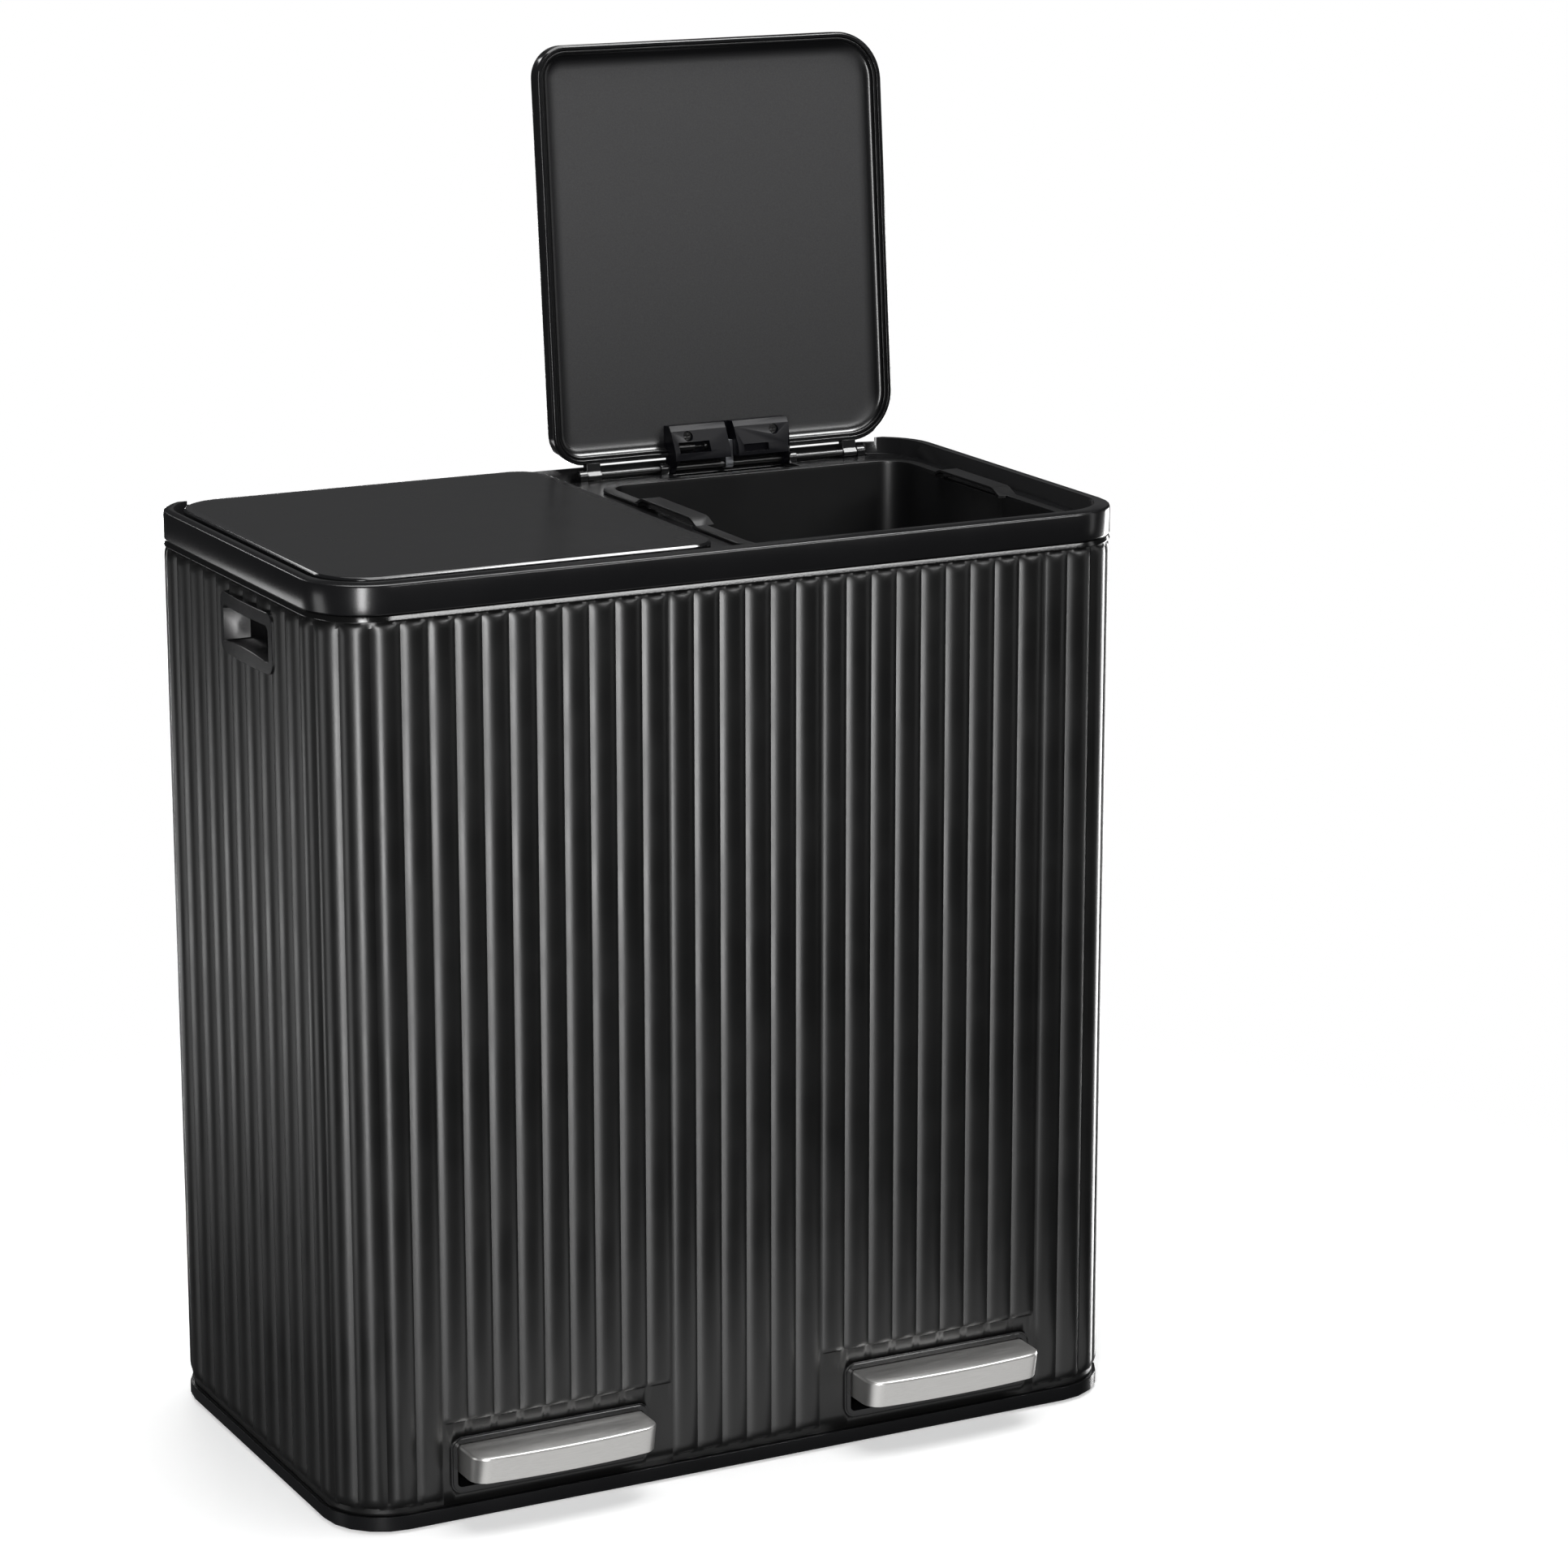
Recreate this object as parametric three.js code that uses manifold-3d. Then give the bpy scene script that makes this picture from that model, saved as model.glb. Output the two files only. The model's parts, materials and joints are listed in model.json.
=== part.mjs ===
// Double recycling bin with two pedals: a fluted steel body, a moulded rim with two lids,
// two lift-out buckets, and for each lid a pedal lever, a push rod and a crank at the hinge.
// Units are millimetres. +X is to the right seen from the front, +Y is to the back, +Z is up.
// The origin is on the floor, under the middle of the body's footprint.

import * as THREE from 'three';
import { mergeVertices } from 'three/addons/utils/BufferGeometryUtils.js';
import Module from 'manifold-3d';

// ---------------------------------------------------------------- driving dimensions

// Body
const BODY_WIDTH = 600; // over the crests of the ribs
const BODY_DEPTH = 334;
const BODY_HEIGHT = 650; // floor to the top of the rim
const BODY_RADIUS = 45.6; // vertical corners, at the crests
const SHEET = 0.8; // steel sheet
const RIB_HEIGHT = 3; // crest above valley
const RIB_PITCH_FRONT = 19.1;
const RIB_PITCH_SIDE = 24.87;
const RIB_PITCH_CORNER = 21; // about; a corner takes a whole number of ribs
const RIB_FADE = 11; // length of a rib's domed end
const BAND = 5; // plain band beyond the ribs at top and bottom
const BEAD = 2.3; // height of the rolled bead on the top edge
const PAD_MARGIN = 4; // plain pad beside the pedal frame, at least
const PAD_RISE = 10; // pad above the pedal frame

// Clearances
const GAP = 0.3; // between pieces that touch
const RUN = 0.3; // around a turning or sliding shaft
const LID_GAP = 4; // between a lid and the rim at the sides

// Base and feet
const BASE_UNDER = 1.5; // underside of the base above the floor
const BASE_HEIGHT = 12; // top of the visible plinth
const BASE_FLOOR = 2.5;
const BASE_WALL = 3;
const BASE_UPSTAND = 8; // collar that enters the body
const FOOT_DIAMETER = 24;
const FOOT_HEIGHT = 2.5;
const FOOT_INSET_X = 52; // foot's middle inside the body's side
const FOOT_INSET_Y = 51;

// Rim
const RIM_HEIGHT = 20; // visible band
const RIM_WALL = 3;
const RIM_SKIRT = 11; // collar that enters the body
const LAND_FRONT = 12; // flat land in front of the lids
const LAND_SIDE = 8;
const LEDGE_DROP = 12; // ledge below the land
const DECK = 3.5; // plate thickness of the ledge
const REAR_DROP = 4; // rear wall below the land, so that an open lid clears it
const TROUGH_DROP = 2.5; // hinge trough below the ledge

// Lids
const LID_PARTING = 20; // between the two lids, over the centre bar
const LID_FRONT_GAP = 4.5; // between the lid and the land in front
const LID_HINGE_GAP = 8; // lid's rear edge forward of the pivot
const LID_PROUD = 1.5; // lid top above the land
const LID_SKIRT = 12; // overall thickness at the edge
const LID_PLATE = 2;
const LID_WALL = 3.5;
const LID_EDGE = 2; // rounding of the top edge
const LID_OUTER_RADIUS = 36; // corners on the bin's outside
const LID_INNER_RADIUS = 23; // corners beside the other lid
const LINER_PLATE = 2.4;
const LINER_WALL = 2.7;
const LID_OPEN = 95; // degrees

// Hinge
const PIVOT_INSET = 9; // inside the body's back
const PIVOT_DROP = 9; // below the top of the rim
const PIN_DIAMETER = 5;
const PIN_START = 18; // inner end of the pin inside the lid's inner edge
const PIN_END = 26; // outer end of the pin inside the lid's outer edge
const HUB_WALL = 1.5; // knuckles and ears around the pin
const EAR = 6; // ear thickness
const KNUCKLE = 11;

// Hinge block, crank and rod
const BLOCK_WIDTH = 96;
const BLOCK_REACH = 31; // from the pivot to its front edge
const BLOCK_DROP = 13.4; // below the pivot
const CHEEK = 4;
const CRANK = 6; // thickness
const CRANK_REACH = 17.5;
const CRANK_UNDER = 4; // push face below the pivot
const ROD_DIAMETER = 6;
const ROD_REACH = 14; // rod forward of the pivot
const SCREW_OFFSET = 35;
const SCREW_HEAD = 7;
const SCREW_SHANK = 3.4;
const DAMPER_DIAMETER = 6;
const DAMPER_BODY = 14;
const DAMPER_ROD = 7;

// Buckets
const BUCKET_INNER_GAP = 13; // lip inside the lid's inner edge
const BUCKET_SIDE_GAP = 11; // lip inside the lid's outer edge
const BUCKET_FRONT_GAP = 9.5; // lip behind the lid's front edge
const BUCKET_BACK_GAP = 3; // lip in front of the hinge block
const BUCKET_LIP = 2.5; // lip thickness
const BUCKET_SEAT = 5.5; // overlap of the lip on the ledge
const BUCKET_UNDER = 78.3; // underside above the floor
const BUCKET_TAPER = 9;
const BUCKET_WALL = 2;
const GRIP_LENGTH = 97;
const GRIP_WIDTH = 14;
const GRIP_RISE = 4.5; // arch above the lip
const GRIP_BAND = 1.8;
const GRIP_Y = 5;

// Pedals
const PEDAL_OFFSET = 1; // middle of a pedal outside the middle of a lid
const PEDAL_WIDTH = 137;
const PEDAL_REACH = 33; // in front of the crests
const PEDAL_TOP = 55.3;
const PEDAL_HEIGHT = 19.8;
const PEDAL_SHEET = 1.5;
const PEDAL_RADIUS = 12;
const PEDAL_BOW = 2.5;
const PEDAL_INSET = 4; // lower front edge behind the upper one
const FRAME_MARGIN = 5.5; // frame beside the pedal
const FRAME_ABOVE = 5.2; // frame above the pedal
const FRAME_HEIGHT = 40;
const FRAME_STRIP = 4.5;
const FRAME_PROUD = 1.5;
const FRAME_DEPTH = 14;
const FRAME_WALL = 1.6;
const AXLE_Y = -95;
const AXLE_Z = 30;
const AXLE_DIAMETER = 8;
const LEVER_OFFSET = -1; // middle of a lever from the middle of a lid
const LEVER_WIDTH = 18;
const LEVER_THICK = 6;
const LEVER_TAIL = 8; // beyond the rod
const LEVER_EAR = 6.5;

// Side handles
const CUP_LENGTH = 93;
const CUP_HEIGHT = 41.5;
const CUP_DROP = 75; // bottom of the cup below the top of the rim
const CUP_Y = -26.5;
const CUP_DEPTH = 18;
const CUP_PROUD = 1;
const CUP_CROWN = 2; // further proud in the middle
const CUP_RADIUS = 8;
const CUP_WALL = 2;
const CUP_STRIP_TOP = 9;
const CUP_STRIP_BOTTOM = 7.5;
const CUP_STRIP_END = 6;
const CUP_ARCH = 3; // rise of the lower lip in the middle

// Facets
const CORNER_STEPS = 5;
const ROUND_STEPS = 12;

// ---------------------------------------------------------------- derived dimensions

const HALF_WIDTH = BODY_WIDTH / 2;
const HALF_DEPTH = BODY_DEPTH / 2;
const VALLEY_X = HALF_WIDTH - RIB_HEIGHT;
const VALLEY_Y = HALF_DEPTH - RIB_HEIGHT;
const BODY_BOTTOM = BASE_HEIGHT + GAP;
const BODY_TOP = BODY_HEIGHT - RIM_HEIGHT - GAP;
const LEDGE_Z = BODY_HEIGHT - LEDGE_DROP;
const RIM_UNDER = BODY_HEIGHT - RIM_HEIGHT;
const LID_TOP = BODY_HEIGHT + LID_PROUD;
const LID_BOTTOM = LID_TOP - LID_SKIRT;
const LID_INNER_X = LID_PARTING / 2;
const LID_OUTER_X = HALF_WIDTH - LAND_SIDE - LID_GAP;
const LINER_TOP = LID_TOP - LID_PLATE - GAP;
const LID_FRONT = HALF_DEPTH - LAND_FRONT - LID_FRONT_GAP; // forward of the middle
const PIVOT_Y = HALF_DEPTH - PIVOT_INSET;
const PIVOT_Z = BODY_HEIGHT - PIVOT_DROP;
const LID_BACK = PIVOT_Y - LID_HINGE_GAP;
const HUB_RADIUS = PIN_DIAMETER / 2 + HUB_WALL;
const PIN_INNER = LID_INNER_X + PIN_START;
const PIN_OUTER = LID_OUTER_X - PIN_END;
const LINKAGE_X = (LID_INNER_X + LID_OUTER_X) / 2; // middle of a lid and its block
const ROD_Y = PIVOT_Y - ROD_REACH;
const LEVER_X = LINKAGE_X + LEVER_OFFSET;
const PEDAL_X = LINKAGE_X + PEDAL_OFFSET;
const BUCKET_LIP_INNER = LID_INNER_X + BUCKET_INNER_GAP;
const BUCKET_LIP_OUTER = LID_OUTER_X - BUCKET_SIDE_GAP;
const BUCKET_LIP_FRONT = LID_FRONT - BUCKET_FRONT_GAP;
const BUCKET_LIP_BACK = PIVOT_Y - BLOCK_REACH - BUCKET_BACK_GAP;
const FRAME_WIDTH = PEDAL_WIDTH + 2 * FRAME_MARGIN;
const FRAME_BOTTOM = PEDAL_TOP + FRAME_ABOVE - FRAME_HEIGHT;
const CUP_BOTTOM = BODY_HEIGHT - CUP_DROP;
const FOOT_X = HALF_WIDTH - FOOT_INSET_X;
const FOOT_Y = HALF_DEPTH - FOOT_INSET_Y;
const LINER_FACE = LINER_TOP - LINER_PLATE;
const FRAME_TOP = FRAME_BOTTOM + FRAME_HEIGHT;
const PAD_TOP = FRAME_TOP + PAD_RISE;
// Ribs on half of the front, and on a side, whose middle is a crest.
const RIBS_HALF = Math.round((HALF_WIDTH - BODY_RADIUS) / RIB_PITCH_FRONT);
const RIBS_SIDE = 2 * Math.round((HALF_DEPTH - BODY_RADIUS) / RIB_PITCH_SIDE - 0.5) + 1;
// Valleys, counted from the middle, between which the pad around a pedal is left plain.
const PAD_FIRST = Math.floor((PEDAL_X - FRAME_WIDTH / 2 - PAD_MARGIN) / RIB_PITCH_FRONT);
const PAD_LAST = Math.ceil((PEDAL_X + FRAME_WIDTH / 2 + PAD_MARGIN) / RIB_PITCH_FRONT);
const BUCKET_TOP = LEDGE_Z + GAP + BUCKET_LIP;
const BLOCK_INNER = LINKAGE_X - BLOCK_WIDTH / 2;
const BLOCK_OUTER = LINKAGE_X + BLOCK_WIDTH / 2;
const REAR_INNER = HALF_DEPTH - RIM_WALL;
const TROUGH_Z = LEDGE_Z - TROUGH_DROP;

// ---------------------------------------------------------------- solids

const wasm = await Module();
wasm.setup();

// A closed geometry as a solid that can be joined and cut.
function solid(geometry) {
  const bare = geometry.index ? geometry.toNonIndexed() : geometry.clone();
  bare.deleteAttribute('normal');
  bare.deleteAttribute('uv');
  const merged = mergeVertices(bare, 1e-4);
  const mesh = new wasm.Mesh({
    numProp: 3,
    vertProperties: new Float32Array(merged.attributes.position.array),
    triVerts: new Uint32Array(merged.index.array),
  });
  return new wasm.Manifold(mesh);
}

// The solid's surface as a geometry with flat facets.
function surface(body) {
  const mesh = body.getMesh();
  const indexed = new THREE.BufferGeometry();
  const positions = new Float32Array(mesh.vertProperties);
  indexed.setAttribute('position', new THREE.BufferAttribute(positions, 3));
  indexed.setIndex(new THREE.BufferAttribute(new Uint32Array(mesh.triVerts), 1));
  const geometry = indexed.toNonIndexed();
  geometry.computeVertexNormals();
  return geometry;
}

// A box between two corners.
function box(x0, x1, y0, y1, z0, z1) {
  const geometry = new THREE.BoxGeometry(x1 - x0, y1 - y0, z1 - z0);
  geometry.translate((x0 + x1) / 2, (y0 + y1) / 2, (z0 + z1) / 2);
  return solid(geometry);
}

// A round bar along X between x0 and x1, centred on (y, z).
function barX(radius, x0, x1, y, z, steps = ROUND_STEPS) {
  const geometry = new THREE.CylinderGeometry(radius, radius, x1 - x0, steps);
  geometry.rotateZ(Math.PI / 2);
  geometry.translate((x0 + x1) / 2, y, z);
  return solid(geometry);
}

// A round bar along Z between z0 and z1, centred on (x, y).
function barZ(radius, z0, z1, x, y, steps = ROUND_STEPS) {
  const geometry = new THREE.CylinderGeometry(radius, radius, z1 - z0, steps);
  geometry.rotateX(Math.PI / 2);
  geometry.translate(x, y, (z0 + z1) / 2);
  return solid(geometry);
}

// One level of a rounded rectangle [x0, x1, y0, y1], drawn in by inset, at height z.
// The radii go round from the corner (x0, y0) anticlockwise.
function ring([x0, x1, y0, y1], radii, inset, z, steps = CORNER_STEPS) {
  const [a, b, c, d] = radii.map((r) => Math.max(r - inset, 0.5));
  const corners = [
    [x0 + inset + a, y0 + inset + a, a, Math.PI],
    [x1 - inset - b, y0 + inset + b, b, Math.PI * 1.5],
    [x1 - inset - c, y1 - inset - c, c, 0],
    [x0 + inset + d, y1 - inset - d, d, Math.PI / 2],
  ];
  return corners.flatMap(([x, y, r, start]) => {
    const arc = new THREE.EllipseCurve(x, y, r, r, start, start + Math.PI / 2);
    return arc.getPoints(steps).map((p) => new THREE.Vector3(p.x, p.y, z));
  });
}

// A closed geometry through levels of equally many points, from the lowest to the highest.
function loft(rings) {
  const count = rings[0].length;
  const positions = [];
  const put = (...points) => points.forEach((p) => positions.push(p.x, p.y, p.z));
  for (let k = 0; k + 1 < rings.length; k++) {
    for (let i = 0; i < count; i++) {
      const j = (i + 1) % count;
      put(rings[k][i], rings[k][j], rings[k + 1][j]);
      put(rings[k][i], rings[k + 1][j], rings[k + 1][i]);
    }
  }
  const bottom = rings[0];
  const top = rings[rings.length - 1];
  for (const [a, b, c] of THREE.ShapeUtils.triangulateShape(bottom, [])) {
    put(bottom[a], bottom[c], bottom[b]);
  }
  for (const [a, b, c] of THREE.ShapeUtils.triangulateShape(top, [])) {
    put(top[a], top[b], top[c]);
  }
  const geometry = new THREE.BufferGeometry();
  geometry.setAttribute('position', new THREE.Float32BufferAttribute(positions, 3));
  return geometry;
}

// A rounded rectangle standing straight up between two heights.
function prism(rect, radii, inset, z0, z1, steps = CORNER_STEPS) {
  return solid(loft([ring(rect, radii, inset, z0, steps), ring(rect, radii, inset, z1, steps)]));
}

// An outline in the YZ plane as a bar from x0 to x1.
function profileX(shape, x0, x1, steps = CORNER_STEPS) {
  const settings = { depth: x1 - x0, bevelEnabled: false, curveSegments: steps };
  const geometry = new THREE.ExtrudeGeometry(shape, settings);
  const basis = new THREE.Matrix4().makeBasis(
    new THREE.Vector3(0, 1, 0),
    new THREE.Vector3(0, 0, 1),
    new THREE.Vector3(1, 0, 0),
  );
  geometry.applyMatrix4(basis);
  geometry.translate(x0, 0, 0);
  return solid(geometry);
}

// An outline in the XZ plane as a bar from y1 forward to y0.
function profileY(shape, y0, y1, steps = CORNER_STEPS) {
  const settings = { depth: y1 - y0, bevelEnabled: false, curveSegments: steps };
  const geometry = new THREE.ExtrudeGeometry(shape, settings);
  geometry.rotateX(Math.PI / 2);
  geometry.translate(0, y1, 0);
  return solid(geometry);
}

// A closed outline through corner points.
function outline(points) {
  return new THREE.Shape(points.map(([a, b]) => new THREE.Vector2(a, b)));
}

// A rounded rectangle as a flat outline.
function roundedOutline(a0, a1, b0, b1, radius) {
  const shape = new THREE.Shape();
  shape.moveTo(a0 + radius, b0);
  shape.lineTo(a1 - radius, b0);
  shape.absarc(a1 - radius, b0 + radius, radius, -Math.PI / 2, 0);
  shape.lineTo(a1, b1 - radius);
  shape.absarc(a1 - radius, b1 - radius, radius, 0, Math.PI / 2);
  shape.lineTo(a0 + radius, b1);
  shape.absarc(a0 + radius, b1 - radius, radius, Math.PI / 2, Math.PI);
  shape.lineTo(a0, b0 + radius);
  shape.absarc(a0 + radius, b0 + radius, radius, Math.PI, Math.PI * 1.5);
  return shape;
}

const material = (color, roughness, metalness) =>
  new THREE.MeshStandardMaterial({ color, roughness, metalness });
const PAINTED_STEEL = material(0x1b1b1c, 0.45, 0.3);
const BLACK_PLASTIC = material(0x161617, 0.4, 0);
const LID_PLASTIC = material(0x242425, 0.5, 0);
const LINER_PLASTIC = material(0x2b2b2c, 0.45, 0);
const BUCKET_PLASTIC = material(0x131314, 0.5, 0);
const BLOCK_PLASTIC = material(0x14151a, 0.35, 0);
const RUBBER = material(0x0e0e0e, 0.9, 0);
const BRUSHED_STEEL = material(0xb9b9b8, 0.35, 1);
const ZINC_STEEL = material(0x8d9094, 0.4, 1);

const bin = new THREE.Group();
const rightSide = new THREE.Group();
const leftSide = new THREE.Group();
leftSide.scale.x = -1; // the left half mirrors the right half
bin.add(rightSide, leftSide);

// A named mesh in a group.
function place(group, name, body, finish) {
  const mesh = new THREE.Mesh(surface(body), finish);
  mesh.name = name;
  group.add(mesh);
  return mesh;
}

// ---------------------------------------------------------------- outer body

// Columns of the fluted outline over a quarter of the body, from the middle of the front
// to the middle of the right side. Each holds its place on the valley line, its outward
// normal, its rise as a share of the rib height, and whether it belongs to a pedal pad.
function quarterColumns(samples) {
  const radius = BODY_RADIUS - RIB_HEIGHT;
  const frontEnd = RIBS_HALF * RIB_PITCH_FRONT;
  const sideStart = (RIBS_SIDE / 2) * RIB_PITCH_SIDE;
  const flatFront = HALF_WIDTH - BODY_RADIUS - frontEnd;
  const flatSide = HALF_DEPTH - BODY_RADIUS - sideStart;
  const bend = (radius * Math.PI) / 2;
  const cornerLength = flatFront + bend + flatSide;
  const ribsCorner = Math.round(cornerLength / RIB_PITCH_CORNER);
  const centre = [HALF_WIDTH - BODY_RADIUS, BODY_RADIUS - HALF_DEPTH];
  const along = (d) => {
    if (d < flatFront) return [frontEnd + d, -VALLEY_Y, 0, -1];
    if (d > flatFront + bend) return [VALLEY_X, centre[1] + d - flatFront - bend, 1, 0];
    const angle = (d - flatFront) / radius;
    const normal = [Math.sin(angle), -Math.cos(angle)];
    return [centre[0] + radius * normal[0], centre[1] + radius * normal[1], ...normal];
  };
  const columns = [];
  for (let i = 0; i < RIBS_HALF; i++) {
    const pad = i >= PAD_FIRST && i < PAD_LAST;
    const edge = (share) => {
      const x = (i + share) * RIB_PITCH_FRONT;
      columns.push({ at: [x, -VALLEY_Y, 0, -1], rise: 0, pad: true });
    };
    // The valley at each edge of a pad has a second column, so the rib beside it ends upright.
    if (i === PAD_LAST) edge(-0.01);
    for (const [share, rise] of samples) {
      const x = (i + share) * RIB_PITCH_FRONT;
      const first = i === PAD_FIRST && share === 0;
      columns.push({ at: [x, -VALLEY_Y, 0, -1], rise, pad: pad && !first });
      if (first) edge(0.01);
    }
  }
  for (let i = 0; i < ribsCorner; i++) {
    for (const [share, rise] of samples) {
      columns.push({ at: along(((i + share) / ribsCorner) * cornerLength), rise, pad: false });
    }
  }
  for (let i = 0; i < RIBS_SIDE / 2; i++) {
    for (const [share, rise] of samples) {
      if (i + share >= RIBS_SIDE / 2) continue;
      const y = -sideStart + (i + share) * RIB_PITCH_SIDE;
      columns.push({ at: [VALLEY_X, y, 1, 0], rise, pad: false });
    }
  }
  return columns;
}

// The whole outline: the quarter, and its mirror images. The samples say where along a rib
// its columns stand and how high it is there.
function bodyColumns(samples) {
  const quarter = quarterColumns(samples);
  const flip = (list, sx, sy) =>
    list.map((c) => ({ ...c, at: [c.at[0] * sx, c.at[1] * sy, c.at[2] * sx, c.at[3] * sy] }));
  const plain = quarter.map((c) => ({ ...c, pad: false }));
  const right = [...quarter, ...flip(plain, 1, -1).reverse()];
  const left = [...flip(plain.slice(1), -1, -1), ...flip(quarter.slice(1), -1, 1).reverse()];
  return [...right, ...left];
}

// Rings of the ribs: height of each, and how far the ribs stand out there.
const columns = bodyColumns([
  [0, 0],
  [1 / 3, 0.9],
  [2 / 3, 0.9],
]);
const lowStart = BODY_BOTTOM + BAND;
const highEnd = BODY_TOP - BEAD - BAND / 2;
const levels = [
  [() => BODY_BOTTOM, 0],
  [(low) => low, 0],
  [(low) => low + RIB_FADE, 1],
  [() => highEnd - RIB_FADE, 1],
  [() => highEnd, 0],
  [() => BODY_TOP, 0],
];
const bodyRings = levels.map(([height, fade]) =>
  columns.map(({ at: [x, y, nx, ny], rise, pad }) => {
    const out = RIB_HEIGHT * rise * fade;
    return new THREE.Vector3(x + nx * out, y + ny * out, height(pad ? PAD_TOP : lowStart));
  }),
);
const bodyRect = [-HALF_WIDTH, HALF_WIDTH, -HALF_DEPTH, HALF_DEPTH];
const bodyRadii = Array(4).fill(BODY_RADIUS);
const beadRings = [
  ring(bodyRect, bodyRadii, RIB_HEIGHT + 0.5, BODY_TOP - BEAD - 0.5),
  ring(bodyRect, bodyRadii, RIB_HEIGHT * 0.15, BODY_TOP - BEAD),
  ring(bodyRect, bodyRadii, 0, BODY_TOP - BEAD / 2),
  ring(bodyRect, bodyRadii, RIB_HEIGHT * 0.15, BODY_TOP),
];
// Inside, the sheet follows the ribs between their ends as plain folds.
const folds = bodyColumns([
  [0, 0],
  [0.5, 0.9],
]);
const foldRing = (z) =>
  folds.map(({ at: [x, y, nx, ny], rise }) => {
    const out = RIB_HEIGHT * rise - SHEET;
    return new THREE.Vector3(x + nx * out, y + ny * out, z);
  });
const foldedInside = solid(
  loft([foldRing(PAD_TOP + RIB_FADE), foldRing(highEnd - RIB_FADE)]),
);
const sheetInset = RIB_HEIGHT + SHEET;
let sleeve = solid(loft(bodyRings))
  .add(solid(loft(beadRings)))
  .subtract(prism(bodyRect, bodyRadii, sheetInset, BODY_BOTTOM - 1, BODY_TOP + 1, 8))
  .subtract(foldedInside);
const frameTube = [
  PEDAL_X - FRAME_WIDTH / 2 + FRAME_STRIP - FRAME_WALL,
  PEDAL_X + FRAME_WIDTH / 2 - FRAME_STRIP + FRAME_WALL,
  FRAME_BOTTOM + FRAME_STRIP - FRAME_WALL,
  FRAME_TOP - FRAME_STRIP + FRAME_WALL,
];
const grown = ([a0, a1, b0, b1], by) => [a0 - by, a1 + by, b0 - by, b1 + by];
const cupFace = [
  CUP_Y - CUP_LENGTH / 2,
  CUP_Y + CUP_LENGTH / 2,
  CUP_BOTTOM,
  CUP_BOTTOM + CUP_HEIGHT,
];
const mirrorX = ([a0, a1, b0, b1]) => [-a1, -a0, b0, b1];
for (const rect of [frameTube, mirrorX(frameTube)]) {
  const hole = roundedOutline(...grown(rect, GAP), 5);
  sleeve = sleeve.subtract(profileY(hole, -HALF_DEPTH - 5, -HALF_DEPTH + 10, 3));
}
for (const x of [-HALF_WIDTH - 5, HALF_WIDTH - 10]) {
  const hole = roundedOutline(...grown(cupFace, GAP), CUP_RADIUS + GAP);
  sleeve = sleeve.subtract(profileX(hole, x, x + 15, 4));
}
place(bin, 'outer_body', sleeve, PAINTED_STEEL);

// ---------------------------------------------------------------- base tray and feet

const collarInset = sheetInset + GAP;
let base = solid(
  loft([
    ring(bodyRect, bodyRadii, 1.5, BASE_UNDER),
    ring(bodyRect, bodyRadii, 0, BASE_UNDER + 1.5),
    ring(bodyRect, bodyRadii, 0, BASE_HEIGHT),
    ring(bodyRect, bodyRadii, collarInset, BASE_HEIGHT),
    ring(bodyRect, bodyRadii, collarInset, BASE_HEIGHT + BASE_UPSTAND),
  ]),
);
const baseFloor = BASE_UNDER + BASE_FLOOR;
const baseInset = collarInset + BASE_WALL;
base = base.subtract(
  prism(bodyRect, bodyRadii, baseInset, baseFloor, BASE_HEIGHT + BASE_UPSTAND + 1),
);
// Stiffening ribs on the floor, clear of the levers.
const ribY = HALF_DEPTH - baseInset + 0.5;
for (const x of [-70, 0, 70]) {
  base = base.add(box(x - 1.5, x + 1.5, -ribY, ribY, baseFloor - 0.5, baseFloor + 8));
}
const earX = [
  LEVER_X - LEVER_WIDTH / 2 - GAP - LEVER_EAR,
  LEVER_X + LEVER_WIDTH / 2 + GAP,
];
const earTop = AXLE_DIAMETER;
const earShape = outline([
  [AXLE_Y - earTop - 4, baseFloor - 0.5],
  [AXLE_Y + earTop + 4, baseFloor - 0.5],
  [AXLE_Y + earTop, AXLE_Z],
  [AXLE_Y + earTop * 0.7, AXLE_Z + earTop * 0.7],
  [AXLE_Y, AXLE_Z + earTop],
  [AXLE_Y - earTop * 0.7, AXLE_Z + earTop * 0.7],
  [AXLE_Y - earTop, AXLE_Z],
]);
for (const side of [1, -1]) {
  for (const x of earX) {
    const [x0, x1] = side > 0 ? [x, x + LEVER_EAR] : [-x - LEVER_EAR, -x];
    base = base
      .add(profileX(earShape, x0, x1))
      .subtract(barX(AXLE_DIAMETER / 2 + GAP, x0 - 1, x1 + 1, AXLE_Y, AXLE_Z));
  }
}
const feet = [
  [FOOT_X, -FOOT_Y],
  [FOOT_X, FOOT_Y],
  [-FOOT_X, -FOOT_Y],
  [-FOOT_X, FOOT_Y],
];
const footSeat = FOOT_HEIGHT + GAP;
for (const [x, y] of feet) {
  base = base.subtract(barZ(FOOT_DIAMETER / 2 + GAP, 0, footSeat, x, y, 20));
}
place(bin, 'base_tray', base, BLACK_PLASTIC);
feet.forEach(([x, y], i) => {
  const foot = barZ(FOOT_DIAMETER / 2, 0, FOOT_HEIGHT, x, y, 20);
  place(bin, 'foot_' + (i + 1), foot, RUBBER);
});

// ---------------------------------------------------------------- top rim

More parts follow.
